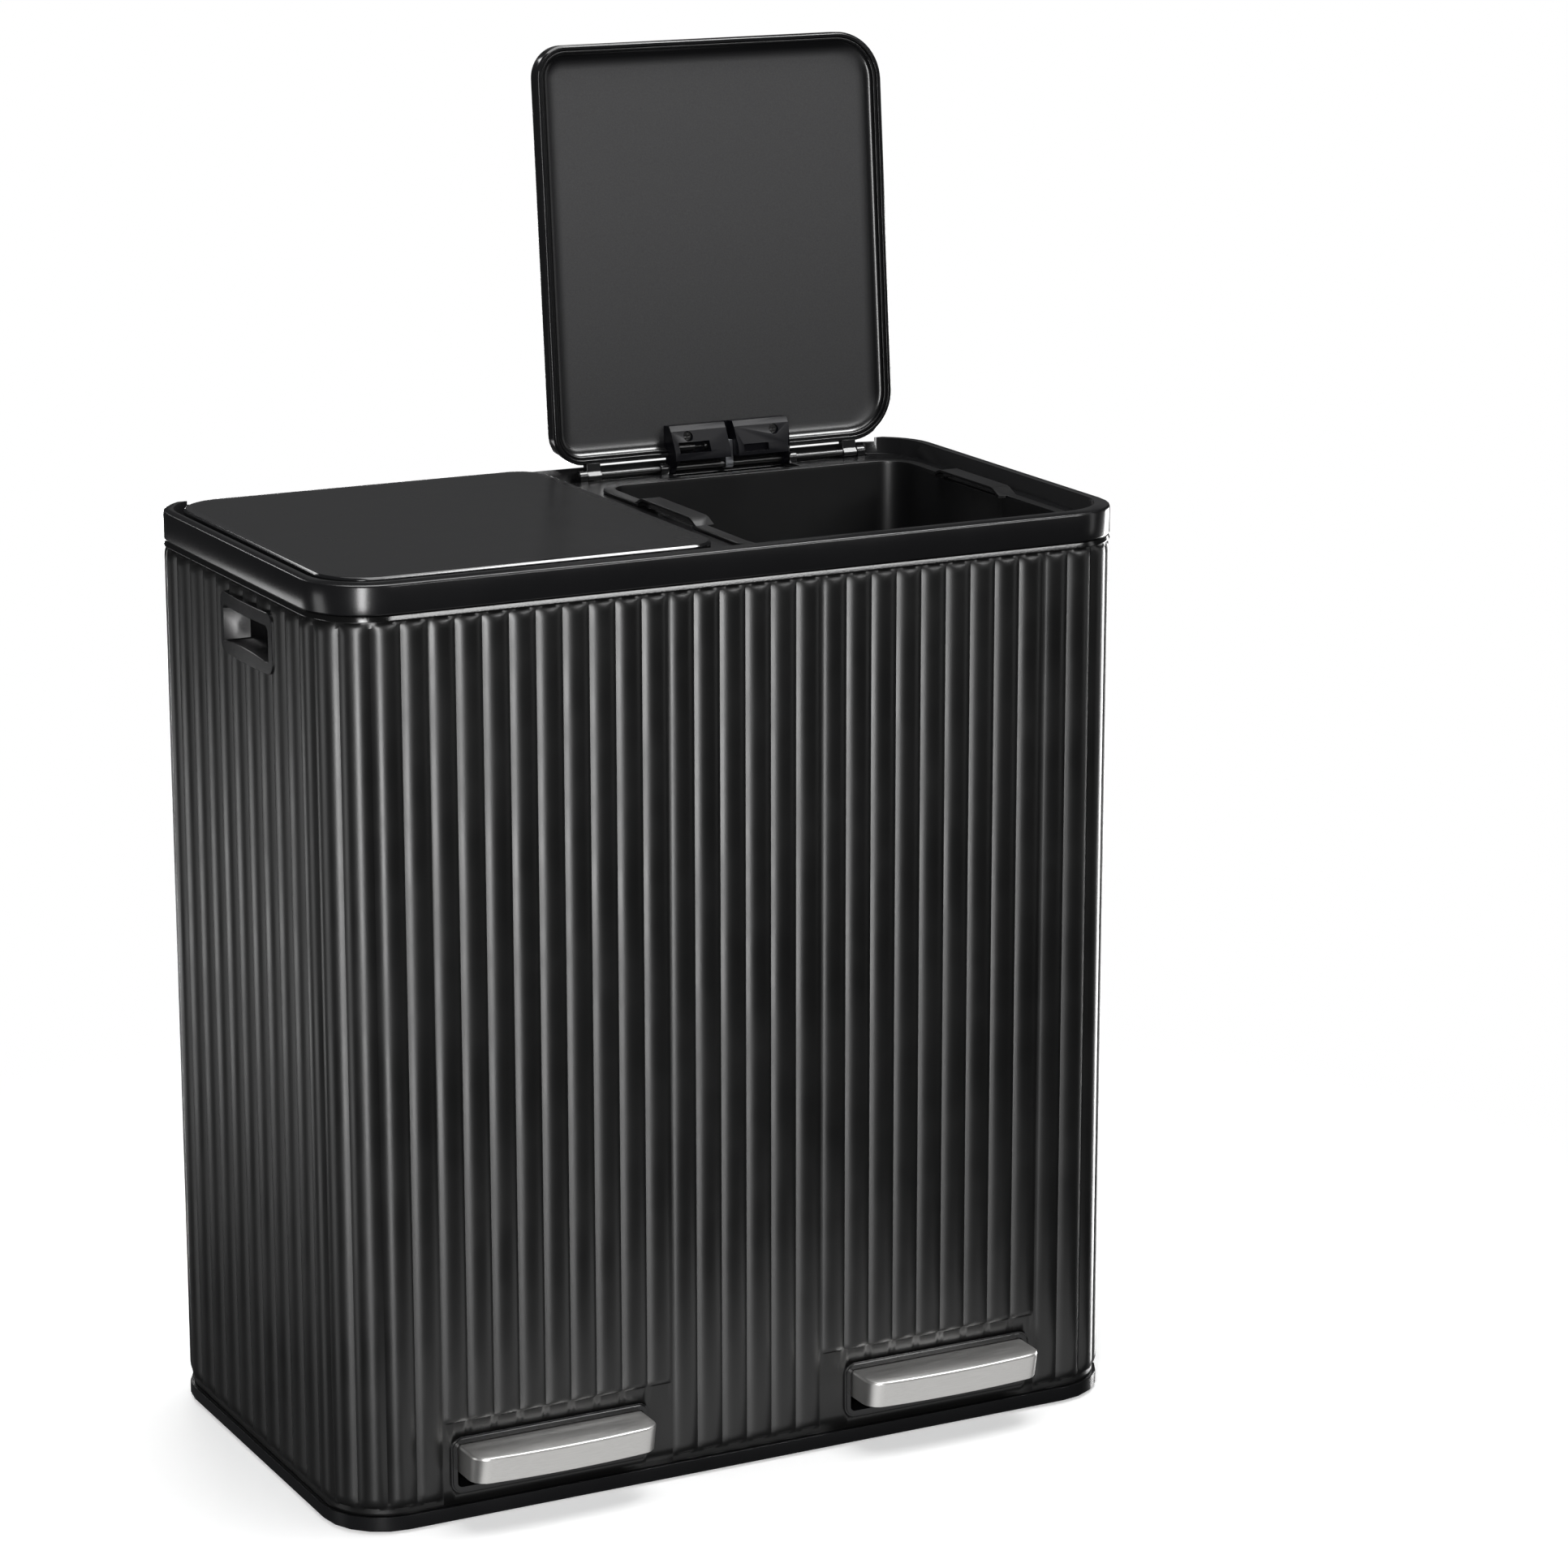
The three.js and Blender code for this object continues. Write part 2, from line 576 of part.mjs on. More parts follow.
const lipRect = [BUCKET_LIP_INNER, BUCKET_LIP_OUTER, -BUCKET_LIP_FRONT, BUCKET_LIP_BACK];
const lipRadii = [36, 32, 30, 25];
const recessRect = [
  LAND_SIDE - HALF_WIDTH,
  HALF_WIDTH - LAND_SIDE,
  LAND_FRONT - HALF_DEPTH,
  REAR_INNER,
];
const recessRadii = [40, 40, 42, 42];
const skirtInset = collarInset;
let rim = solid(
  loft([
    ring(bodyRect, bodyRadii, skirtInset, RIM_UNDER - RIM_SKIRT, 8),
    ring(bodyRect, bodyRadii, skirtInset, RIM_UNDER, 8),
    ring(bodyRect, bodyRadii, 0.6, RIM_UNDER, 8),
    ring(bodyRect, bodyRadii, 0, RIM_UNDER + 0.8, 8),
    ring(bodyRect, bodyRadii, 0, BODY_HEIGHT - 2, 8),
    ring(bodyRect, bodyRadii, 0.6, BODY_HEIGHT - 0.6, 8),
    ring(bodyRect, bodyRadii, 2, BODY_HEIGHT, 8),
  ]),
);
rim = rim
  .subtract(prism(recessRect, recessRadii, 0, LEDGE_Z, BODY_HEIGHT + 1, 8))
  .subtract(
    prism(bodyRect, bodyRadii, skirtInset + RIM_WALL, RIM_UNDER - RIM_SKIRT - 1, LEDGE_Z - DECK),
  )
  .subtract(
    box(
      LAND_SIDE - HALF_WIDTH,
      HALF_WIDTH - LAND_SIDE,
      PIVOT_Y,
      HALF_DEPTH + 1,
      BODY_HEIGHT - REAR_DROP,
      BODY_HEIGHT + 1,
    ),
  );
// The hinge trough with its own floor, and a well for each hinge block.
const troughX = PIN_OUTER + 2;
const troughFront = PIVOT_Y - HUB_RADIUS - 2;
rim = rim
  .add(box(-troughX - 2, troughX + 2, troughFront - 2, REAR_INNER + 0.5, TROUGH_Z - 2, LEDGE_Z - 1))
  .subtract(box(-troughX, troughX, troughFront, REAR_INNER, TROUGH_Z, BODY_HEIGHT));
const wellX = [BLOCK_INNER - 1, BLOCK_OUTER + 1];
const wellFront = PIVOT_Y - BLOCK_REACH - 1.7;
const wellBack = PIVOT_Y - 1;
const wellFloor = PIVOT_Z - BLOCK_DROP - 1;
const wellWall = 2;
const rodHole = ROD_DIAMETER / 2 + RUN;
const mirrored = (body) => body.mirror([1, 0, 0]);
const bothSides = (body) => body.add(mirrored(body));
const wellOuter = box(
  wellX[0] - wellWall,
  wellX[1] + wellWall,
  wellFront - wellWall,
  wellBack + wellWall,
  wellFloor - wellWall,
  LEDGE_Z - 0.5,
);
const wellInner = box(...wellX, wellFront, wellBack, wellFloor, BODY_HEIGHT)
  .add(box(...wellX, wellFront, PIVOT_Y + HUB_RADIUS + 1, TROUGH_Z - 1, BODY_HEIGHT))
  .add(barZ(rodHole, wellFloor - 10, wellFloor + 1, LINKAGE_X, ROD_Y));
rim = rim.add(bothSides(wellOuter)).subtract(bothSides(wellInner));
// Bucket openings and the ears that hold the pins.
rim = rim.subtract(
  bothSides(prism(lipRect, lipRadii, BUCKET_SEAT, RIM_UNDER - RIM_SKIRT - 1, BODY_HEIGHT)),
);
const earRound = new THREE.Shape();
earRound.moveTo(PIVOT_Y + HUB_RADIUS, TROUGH_Z - 0.5);
earRound.lineTo(PIVOT_Y + HUB_RADIUS, PIVOT_Z);
earRound.absarc(PIVOT_Y, PIVOT_Z, HUB_RADIUS, 0, Math.PI);
earRound.lineTo(PIVOT_Y - HUB_RADIUS, TROUGH_Z - 0.5);
const pinEars = [
  [PIN_INNER + 0.5, PIN_INNER + 0.5 + EAR],
  [wellX[0] - 0.5 - EAR, wellX[0] - 0.5],
  [wellX[1] + 0.5, wellX[1] + 0.5 + EAR],
  [PIN_OUTER - 0.5 - EAR, PIN_OUTER - 0.5],
];
const pinHole = PIN_DIAMETER / 2 + RUN;
for (const [x0, x1] of pinEars) {
  rim = rim.add(bothSides(profileX(earRound, x0, x1, 5)));
}
rim = rim.subtract(
  bothSides(barX(pinHole, PIN_INNER - 0.5, PIN_OUTER + 0.5, PIVOT_Y, PIVOT_Z)),
);
place(bin, 'top_rim', rim, BLACK_PLASTIC);

// ---------------------------------------------------------------- handle cups and pedal frames

// The cup's face is crowned outwards, and its pocket's lower lip is arched.
function handleCup() {
  const [y0, y1, z0, z1] = cupFace;
  const back = HALF_WIDTH - CUP_DEPTH - CUP_WALL;
  const crown = new THREE.Shape();
  crown.moveTo(0, y0);
  crown.lineTo(HALF_WIDTH + CUP_PROUD, y0);
  crown.quadraticCurveTo(HALF_WIDTH + CUP_PROUD + 2 * CUP_CROWN, CUP_Y, HALF_WIDTH + CUP_PROUD, y1);
  crown.lineTo(0, y1);
  const settings = { depth: CUP_HEIGHT, bevelEnabled: false, curveSegments: 8 };
  const crownBar = new THREE.ExtrudeGeometry(crown, settings);
  crownBar.translate(0, 0, z0);
  const bezelBack = VALLEY_X - SHEET - 3;
  const bezel = profileX(roundedOutline(...cupFace, CUP_RADIUS), bezelBack, HALF_WIDTH + 6, 4);
  const pocket = [
    y0 + CUP_STRIP_END,
    y1 - CUP_STRIP_END,
    z0 + CUP_STRIP_BOTTOM,
    z1 - CUP_STRIP_TOP,
  ];
  const tube = profileX(roundedOutline(...grown(pocket, CUP_WALL), 5), back, HALF_WIDTH, 3);
  const [a0, a1, b0, b1] = pocket;
  const mouth = new THREE.Shape();
  mouth.moveTo(a0, b0);
  mouth.quadraticCurveTo(CUP_Y, b0 + 2 * CUP_ARCH, a1, b0);
  mouth.lineTo(a1, b1 - 3);
  mouth.lineTo(a1 - 3, b1);
  mouth.lineTo(a0 + 3, b1);
  mouth.lineTo(a0, b1 - 3);
  const hollow = profileX(mouth, HALF_WIDTH - CUP_DEPTH, HALF_WIDTH + 10, 8);
  return bezel.intersect(solid(crownBar)).add(tube).subtract(hollow);
}

// A flange on the pad with a short tube through the body.
function pedalFrame() {
  const face = [
    PEDAL_X - FRAME_WIDTH / 2,
    PEDAL_X + FRAME_WIDTH / 2,
    FRAME_BOTTOM,
    FRAME_TOP,
  ];
  const seat = -VALLEY_Y - GAP;
  const front = seat - FRAME_PROUD;
  const flange = profileY(roundedOutline(...face, 8), front, seat, 4);
  const ridge = profileY(roundedOutline(...grown(face, -1.2), 7), front - 0.6, seat, 4);
  const tube = profileY(roundedOutline(...frameTube, 4.5), front, seat + FRAME_DEPTH, 3);
  const inner = grown(frameTube, -FRAME_WALL);
  const hollow = profileY(roundedOutline(...inner, 3.5), front - 5, seat + FRAME_DEPTH + 5, 3);
  return flange.add(ridge).add(tube).subtract(hollow);
}

// ---------------------------------------------------------------- pedal, lever, axle, rod

// The cap's plan at one level: a bowed front with rounded corners, open at the back.
function pedalLevel(inset, setback, z, back = -VALLEY_Y + FRAME_DEPTH) {
  const half = PEDAL_WIDTH / 2 - inset;
  const front = -HALF_DEPTH - PEDAL_REACH + inset + setback;
  const r = Math.max(PEDAL_RADIUS - inset, 1);
  const points = [];
  const corner = (cx, cy, start) => {
    const arc = new THREE.EllipseCurve(cx, cy, r, r, start, start + Math.PI / 2);
    points.push(...arc.getPoints(5));
  };
  const shoulder = front + PEDAL_BOW;
  corner(PEDAL_X - half + r, shoulder + r, Math.PI);
  const bow = new THREE.QuadraticBezierCurve(
    new THREE.Vector2(PEDAL_X - half + r, shoulder),
    new THREE.Vector2(PEDAL_X, shoulder - 2 * PEDAL_BOW),
    new THREE.Vector2(PEDAL_X + half - r, shoulder),
  );
  points.push(...bow.getPoints(8).slice(1, -1));
  corner(PEDAL_X + half - r, shoulder + r, Math.PI * 1.5);
  points.push(new THREE.Vector2(PEDAL_X + half, back - inset));
  points.push(new THREE.Vector2(PEDAL_X - half, back - inset));
  return points.map((p) => new THREE.Vector3(p.x, p.y, z));
}

function pedalCap() {
  const bottom = PEDAL_TOP - PEDAL_HEIGHT;
  const outer = loft([
    pedalLevel(0, PEDAL_INSET, bottom),
    pedalLevel(0, 0.4, PEDAL_TOP - 2),
    pedalLevel(0.5, 0, PEDAL_TOP - 0.6),
    pedalLevel(1.8, 0, PEDAL_TOP),
  ]);
  const inner = loft([
    pedalLevel(PEDAL_SHEET, PEDAL_INSET + 0.2, bottom - 1, 0),
    pedalLevel(PEDAL_SHEET, 0.4, PEDAL_TOP - PEDAL_SHEET, 0),
  ]);
  return solid(outer).subtract(solid(inner));
}

// A steel bar from the pedal over the axle to the rod, with a plate under the cap.
const leverRear = ROD_Y + LEVER_TAIL;
const leverPlateTop = PEDAL_TOP - PEDAL_SHEET - GAP;
function pedalLever() {
  const half = LEVER_THICK / 2;
  const plateFront = -HALF_DEPTH - PEDAL_REACH + PEDAL_BOW + PEDAL_INSET + PEDAL_SHEET + 5;
  const plateBack = -VALLEY_Y + FRAME_DEPTH - PEDAL_SHEET - 2;
  const plateUnder = leverPlateTop - 3;
  const side = outline([
    [plateFront, plateUnder],
    [plateBack - 3, plateUnder],
    [AXLE_Y - 22, AXLE_Z - half],
    [leverRear, AXLE_Z - half],
    [leverRear, AXLE_Z + half],
    [AXLE_Y - 18, AXLE_Z + half],
    [plateBack, leverPlateTop],
    [plateFront, leverPlateTop],
  ]);
  const x0 = LEVER_X - LEVER_WIDTH / 2;
  const x1 = LEVER_X + LEVER_WIDTH / 2;
  const plate = box(PEDAL_X - 52, PEDAL_X + 52, plateFront, plateBack, plateUnder, leverPlateTop);
  return profileX(side, x0, x1)
    .add(barX(AXLE_DIAMETER / 2 + 3, x0, x1, AXLE_Y, AXLE_Z))
    .add(plate)
    .subtract(barX(AXLE_DIAMETER / 2 + RUN, x0 - 1, x1 + 1, AXLE_Y, AXLE_Z));
}

const axle = barX(
  AXLE_DIAMETER / 2,
  earX[0] - 2,
  earX[1] + LEVER_EAR + 2,
  AXLE_Y,
  AXLE_Z,
);
const rodBottom = AXLE_Z + LEVER_THICK / 2 + GAP;
const rodTop = PIVOT_Z - CRANK_UNDER - GAP;
const rod = barZ(ROD_DIAMETER / 2, rodBottom, rodTop, LINKAGE_X, ROD_Y);

// A moulded guide on the inside of the back wall, with an eye around the rod.
function rodGuide() {
  const wall = VALLEY_Y - SHEET - GAP;
  const middle = BODY_HEIGHT / 2;
  const plate = box(LINKAGE_X - 16, LINKAGE_X + 16, wall - 3, wall, middle - 20, middle + 20);
  const web = box(LINKAGE_X - 4, LINKAGE_X + 4, ROD_Y, wall - 1, middle - 6, middle + 6);
  const eye = barZ(ROD_DIAMETER / 2 + 3, middle - 6, middle + 6, LINKAGE_X, ROD_Y);
  const hole = barZ(rodHole, middle - 7, middle + 7, LINKAGE_X, ROD_Y);
  return plate.add(web).add(eye).subtract(hole);
}

// ---------------------------------------------------------------- lids, drawn closed

const lidRect = [LID_INNER_X, LID_OUTER_X, -LID_FRONT, LID_BACK];
const lidRadii = [LID_INNER_RADIUS, LID_OUTER_RADIUS, LID_OUTER_RADIUS, LID_INNER_RADIUS];
const lidNotch = box(
  BLOCK_INNER - GAP,
  BLOCK_OUTER + GAP,
  LID_BACK - LID_WALL - LINER_WALL - 4,
  LID_BACK + 1,
  LID_BOTTOM - 1,
  LINER_FACE,
);
const screwX = [LINKAGE_X - SCREW_OFFSET, LINKAGE_X + SCREW_OFFSET];
const screwY = PIVOT_Y - BLOCK_REACH + 8;
const shankHole = SCREW_SHANK / 2 + GAP;

// Knuckles reach back from the rear skirt to the pin, low enough to clear the rear wall.
const knuckle = new THREE.Shape();
knuckle.absarc(PIVOT_Y, PIVOT_Z, HUB_RADIUS, -Math.PI / 2, Math.PI * 0.62);
knuckle.lineTo(LID_BACK - 1, PIVOT_Z + 5.3);
knuckle.lineTo(LID_BACK - 1, LID_BOTTOM + 0.1);
knuckle.lineTo(PIVOT_Y - 3, LID_BOTTOM + 0.1);
const knuckles = [
  [pinEars[0][1] + GAP, pinEars[0][1] + GAP + KNUCKLE],
  [pinEars[3][0] - GAP - KNUCKLE, pinEars[3][0] - GAP],
];

function lidShell() {
  let body = solid(
    loft([
      ring(lidRect, lidRadii, 0.6, LID_BOTTOM),
      ring(lidRect, lidRadii, 0, LID_BOTTOM + 0.8),
      ring(lidRect, lidRadii, 0, LID_TOP - LID_EDGE),
      ring(lidRect, lidRadii, LID_EDGE * 0.3, LID_TOP - LID_EDGE * 0.3),
      ring(lidRect, lidRadii, LID_EDGE, LID_TOP),
    ]),
  );
  body = body.subtract(prism(lidRect, lidRadii, LID_WALL, LID_BOTTOM - 1, LID_TOP - LID_PLATE));
  for (const [x0, x1] of knuckles) body = body.add(profileX(knuckle, x0, x1, 5));
  body = body.subtract(lidNotch);
  return body.subtract(barX(pinHole, PIN_INNER, PIN_OUTER, PIVOT_Y, PIVOT_Z));
}

function lidLiner() {
  const inset = LID_WALL + GAP;
  const outer = prism(lidRect, lidRadii, inset, LID_BOTTOM + 1.5, LINER_TOP);
  const hollow = loft([
    ring(lidRect, lidRadii, inset + LINER_WALL - 1, LID_BOTTOM),
    ring(lidRect, lidRadii, inset + LINER_WALL, LID_BOTTOM + 2.5),
    ring(lidRect, lidRadii, inset + LINER_WALL, LINER_FACE - 1.5),
    ring(lidRect, lidRadii, inset + LINER_WALL + 1.5, LINER_FACE),
  ]);
  let body = outer.subtract(solid(hollow)).subtract(lidNotch);
  for (const x of screwX) {
    body = body.subtract(barZ(shankHole, LINER_FACE - 2, LINER_TOP + 1, x, screwY, 12));
  }
  return body;
}

// ---------------------------------------------------------------- hinge block, drawn closed

const blockTop = LINER_FACE - GAP;
const channel = Math.max(CRANK, ROD_DIAMETER) / 2 + GAP;
const recessX = [BLOCK_INNER + CHEEK, BLOCK_INNER + CHEEK + DAMPER_BODY + DAMPER_ROD + 4];
const recessTop = PIVOT_Z - 2;
const damperY = PIVOT_Y - 15;
const damperZ = recessTop - GAP - DAMPER_DIAMETER / 2;

function hingeBlock() {
  const front = PIVOT_Y - BLOCK_REACH;
  const wedge = outline([
    [front, PIVOT_Z - 3.7],
    [front + 4, PIVOT_Z - 6.4],
    [PIVOT_Y - 12.5, PIVOT_Z - BLOCK_DROP + 0.4],
    [PIVOT_Y - 6, PIVOT_Z - BLOCK_DROP],
    [PIVOT_Y - 6, PIVOT_Z - 4],
    [PIVOT_Y - 8, blockTop - 2],
    [PIVOT_Y - 8, blockTop],
    [front + 1, blockTop],
    [front, blockTop - 1],
  ]);
  const cheek = new THREE.Shape();
  cheek.moveTo(PIVOT_Y - 11, PIVOT_Z + 4);
  cheek.lineTo(PIVOT_Y - 11, PIVOT_Z - 12);
  cheek.lineTo(PIVOT_Y - 5.5, PIVOT_Z - 12);
  cheek.absarc(PIVOT_Y, PIVOT_Z, HUB_RADIUS + 0.4, -Math.PI / 2, Math.PI / 2);
  let body = profileX(wedge, BLOCK_INNER, BLOCK_OUTER);
  for (const x of [BLOCK_INNER, BLOCK_OUTER - CHEEK]) {
    body = body.add(profileX(cheek, x, x + CHEEK, 5));
  }
  // A bevelled outer end, the crank's channel, the damper's recess and a small window.
  const bevel = outline([
    [BLOCK_OUTER - 5, PIVOT_Z - BLOCK_DROP - 1],
    [BLOCK_OUTER + 1, PIVOT_Z - BLOCK_DROP - 1],
    [BLOCK_OUTER + 1, PIVOT_Z - BLOCK_DROP + 7],
  ]);
  body = body
    .subtract(profileY(bevel, front - 1, PIVOT_Y - 5))
    .subtract(
      box(
        LINKAGE_X - channel,
        LINKAGE_X + channel,
        front - 1,
        PIVOT_Y,
        PIVOT_Z - BLOCK_DROP - 1,
        PIVOT_Z + CRANK_UNDER + GAP,
      ),
    )
    .subtract(
      box(...recessX, damperY - 4, damperY + 4, PIVOT_Z - BLOCK_DROP - 1, recessTop),
    )
    .subtract(
      box(
        LINKAGE_X + 8,
        LINKAGE_X + 28,
        PIVOT_Y - 14,
        PIVOT_Y - 8.5,
        PIVOT_Z - BLOCK_DROP - 1,
        PIVOT_Z - 9,
      ),
    );
  const headSeat = PIVOT_Z - 4;
  for (const x of screwX) {
    body = body
      .subtract(barZ(SCREW_HEAD / 2 + GAP, PIVOT_Z - 20, headSeat, x, screwY, 12))
      .subtract(barZ(shankHole, headSeat - 1, blockTop + 1, x, screwY, 12));
  }
  return body.subtract(barX(pinHole, BLOCK_INNER - 1, BLOCK_OUTER + 1, PIVOT_Y, PIVOT_Z));
}

function blockScrew(x) {
  const seat = PIVOT_Z - 4 - GAP;
  const head = barZ(SCREW_HEAD / 2, seat - 2, seat, x, screwY, 12);
  const shank = barZ(SCREW_SHANK / 2, seat - 0.5, LINER_TOP - GAP, x, screwY, 8);
  const slot = box(x - 2.4, x + 2.4, screwY - 0.5, screwY + 0.5, seat - 3, seat - 1.2);
  const cross = box(x - 0.5, x + 0.5, screwY - 2.4, screwY + 2.4, seat - 3, seat - 1.2);
  return head.add(shank).subtract(slot).subtract(cross);
}

// The crank's arm reaches forward from its eye on the pin; the rod pushes its underside.
function crankArm() {
  const side = new THREE.Shape();
  side.absarc(PIVOT_Y, PIVOT_Z, HUB_RADIUS, -Math.PI / 2, Math.PI / 2);
  side.lineTo(PIVOT_Y - CRANK_REACH + 2, PIVOT_Z + CRANK_UNDER);
  side.lineTo(PIVOT_Y - CRANK_REACH, PIVOT_Z + CRANK_UNDER - 2);
  side.lineTo(PIVOT_Y - CRANK_REACH, PIVOT_Z - CRANK_UNDER);
  const bar = profileX(side, LINKAGE_X - CRANK / 2, LINKAGE_X + CRANK / 2, 5);
  return bar.subtract(barX(pinHole, LINKAGE_X - CRANK, LINKAGE_X + CRANK, PIVOT_Y, PIVOT_Z));
}

function damper() {
  const start = recessX[0] + GAP;
  const end = recessX[1] - GAP;
  const split = start + DAMPER_BODY;
  return barX(DAMPER_DIAMETER / 2, start, split, damperY, damperZ)
    .add(barX(1.2, split - 0.5, end, damperY, damperZ, 8))
    .add(barX(DAMPER_DIAMETER / 2, end - 2.5, end, damperY, damperZ));
}

const pin = barX(PIN_DIAMETER / 2, PIN_INNER, PIN_OUTER, PIVOT_Y, PIVOT_Z);

// ---------------------------------------------------------------- bucket

function bucket() {
  const hang = BUCKET_SEAT + 1.5; // bucket wall inside the lip edge
  const bottom = BUCKET_UNDER;
  const low = hang + BUCKET_TAPER;
  const outer = loft([
    ring(lipRect, lipRadii, low + 7, bottom),
    ring(lipRect, lipRadii, low + 2, bottom + 2),
    ring(lipRect, lipRadii, low, bottom + 8),
    ring(lipRect, lipRadii, hang, LEDGE_Z + GAP),
    ring(lipRect, lipRadii, 0, LEDGE_Z + GAP),
    ring(lipRect, lipRadii, 0, BUCKET_TOP - 0.8),
    ring(lipRect, lipRadii, 0.8, BUCKET_TOP),
  ]);
  const inner = loft([
    ring(lipRect, lipRadii, low + BUCKET_WALL + 6, bottom + BUCKET_WALL),
    ring(lipRect, lipRadii, low + BUCKET_WALL, bottom + BUCKET_WALL + 7),
    ring(lipRect, lipRadii, hang + BUCKET_WALL, LEDGE_Z + GAP),
    ring(lipRect, lipRadii, hang + BUCKET_WALL - 0.6, BUCKET_TOP + 1),
  ]);
  let body = solid(outer).subtract(solid(inner));
  // Arched grips over a finger slot, on the inner and the outer side.
  const half = GRIP_LENGTH / 2;
  const top = BUCKET_TOP + GRIP_RISE;
  const lipUnder = LEDGE_Z + GAP;
  const arch = outline([
    [GRIP_Y - half, lipUnder + 0.5],
    [GRIP_Y + half, lipUnder + 0.5],
    [GRIP_Y + half, BUCKET_TOP],
    [GRIP_Y + half - 9, top - 0.6],
    [GRIP_Y + half - 12, top],
    [GRIP_Y - half + 12, top],
    [GRIP_Y - half + 9, top - 0.6],
    [GRIP_Y - half, BUCKET_TOP],
  ]);
  const slot = outline([
    [GRIP_Y - half + 5, lipUnder - 1],
    [GRIP_Y + half - 5, lipUnder - 1],
    [GRIP_Y + half - 5, BUCKET_TOP],
    [GRIP_Y + half - 11, top - GRIP_BAND],
    [GRIP_Y - half + 11, top - GRIP_BAND],
    [GRIP_Y - half + 5, BUCKET_TOP],
  ]);
  const edges = [
    [BUCKET_LIP_INNER + 0.3, BUCKET_LIP_INNER + 0.3 + GRIP_WIDTH],
    [BUCKET_LIP_OUTER - 0.3 - GRIP_WIDTH, BUCKET_LIP_OUTER - 0.3],
  ];
  for (const [x0, x1] of edges) {
    body = body.add(profileX(arch, x0, x1)).subtract(profileX(slot, x0 - 2, x1 + 2));
  }
  return body;
}

// ---------------------------------------------------------------- assembly

const sides = [
  [rightSide, 'right_', -LID_OPEN], // the right lid stands open
  [leftSide, 'left_', 0], // the left lid is shut
];
for (const [side, prefix, turn] of sides) {
  place(side, prefix + 'handle_cup', handleCup(), BLACK_PLASTIC);
  place(side, prefix + 'pedal_frame', pedalFrame(), BLACK_PLASTIC);
  place(side, prefix + 'pedal_axle', axle, ZINC_STEEL);
  place(side, prefix + 'pedal_lever', pedalLever(), ZINC_STEEL);
  place(side, prefix + 'pedal_cap', pedalCap(), BRUSHED_STEEL);
  place(side, prefix + 'push_rod', rod, ZINC_STEEL);
  place(side, prefix + 'rod_guide', rodGuide(), BLACK_PLASTIC);
  place(side, prefix + 'hinge_pin', pin, ZINC_STEEL);
  place(side, prefix + 'bucket', bucket(), BUCKET_PLASTIC);
  // The lid and what rides on it turn about the pin.
  const hinge = new THREE.Group();
  hinge.position.set(0, PIVOT_Y, PIVOT_Z);
  hinge.rotation.x = THREE.MathUtils.degToRad(turn);
  const lid = new THREE.Group();
  lid.position.set(0, -PIVOT_Y, -PIVOT_Z);
  hinge.add(lid);
  side.add(hinge);
  place(lid, prefix + 'lid_shell', lidShell(), LID_PLASTIC);
  place(lid, prefix + 'lid_liner', lidLiner(), LINER_PLASTIC);
  place(lid, prefix + 'hinge_block', hingeBlock(), BLOCK_PLASTIC);
  place(lid, prefix + 'crank_arm', crankArm(), ZINC_STEEL);
  place(lid, prefix + 'damper', damper(), BLACK_PLASTIC);
  screwX.forEach((x, i) => {
    place(lid, prefix + 'block_screw_' + (i + 1), blockScrew(x), ZINC_STEEL);
  });
}

export default bin;
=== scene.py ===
# %% [markdown]
# # A double recycling bin, piece by piece
# The bin has a fluted steel body, a moulded rim, two lids, two lift-out buckets and two
# pedals. Its construction is already solved and comes in as a fixed frame of named nodes.
# Here each visible surface gets the shape and the finish that the eye reads on the real
# one. The frame's nodes stay where they are: a finer piece stands in for a node, rides on
# the same body, and keeps the node's place.

import json
import math

import bmesh
import bpy
import numpy as np
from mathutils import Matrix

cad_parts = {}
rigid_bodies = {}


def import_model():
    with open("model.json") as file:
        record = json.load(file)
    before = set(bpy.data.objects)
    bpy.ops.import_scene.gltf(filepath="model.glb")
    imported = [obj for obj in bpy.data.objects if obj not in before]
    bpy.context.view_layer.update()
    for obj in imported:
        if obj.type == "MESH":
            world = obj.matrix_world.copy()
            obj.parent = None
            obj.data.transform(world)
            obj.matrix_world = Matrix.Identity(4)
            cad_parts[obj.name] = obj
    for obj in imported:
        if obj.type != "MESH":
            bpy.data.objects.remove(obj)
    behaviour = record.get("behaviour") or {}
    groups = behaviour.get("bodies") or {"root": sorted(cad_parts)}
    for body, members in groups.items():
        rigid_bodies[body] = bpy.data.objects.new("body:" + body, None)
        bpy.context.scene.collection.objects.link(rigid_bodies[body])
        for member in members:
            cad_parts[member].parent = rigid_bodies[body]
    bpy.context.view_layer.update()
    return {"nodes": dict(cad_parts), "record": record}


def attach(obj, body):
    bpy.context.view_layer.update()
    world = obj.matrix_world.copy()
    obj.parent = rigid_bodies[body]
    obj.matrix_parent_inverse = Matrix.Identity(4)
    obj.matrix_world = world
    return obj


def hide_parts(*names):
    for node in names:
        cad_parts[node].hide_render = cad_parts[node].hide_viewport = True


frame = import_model()

# %% [markdown]
# ## Measures
# Every length below is in metres. `MM` turns the millimetres that a maker would write into
# metres, so that each line can be read against a ruler.

# %% Measures of the bin
MM = 0.001
# Over the flutes' crests the body is twice these; CORNER is the radius of its corners.
HALF_W, HALF_D = 300 * MM, 167 * MM
CORNER = 45.6 * MM
# How far a flute's crest stands out from the valley beside it.
RIB = 3 * MM
# The sheet runs from the plinth to the rim, between these heights.
BODY_LOW, BODY_HIGH = 12.3 * MM, 629.7 * MM
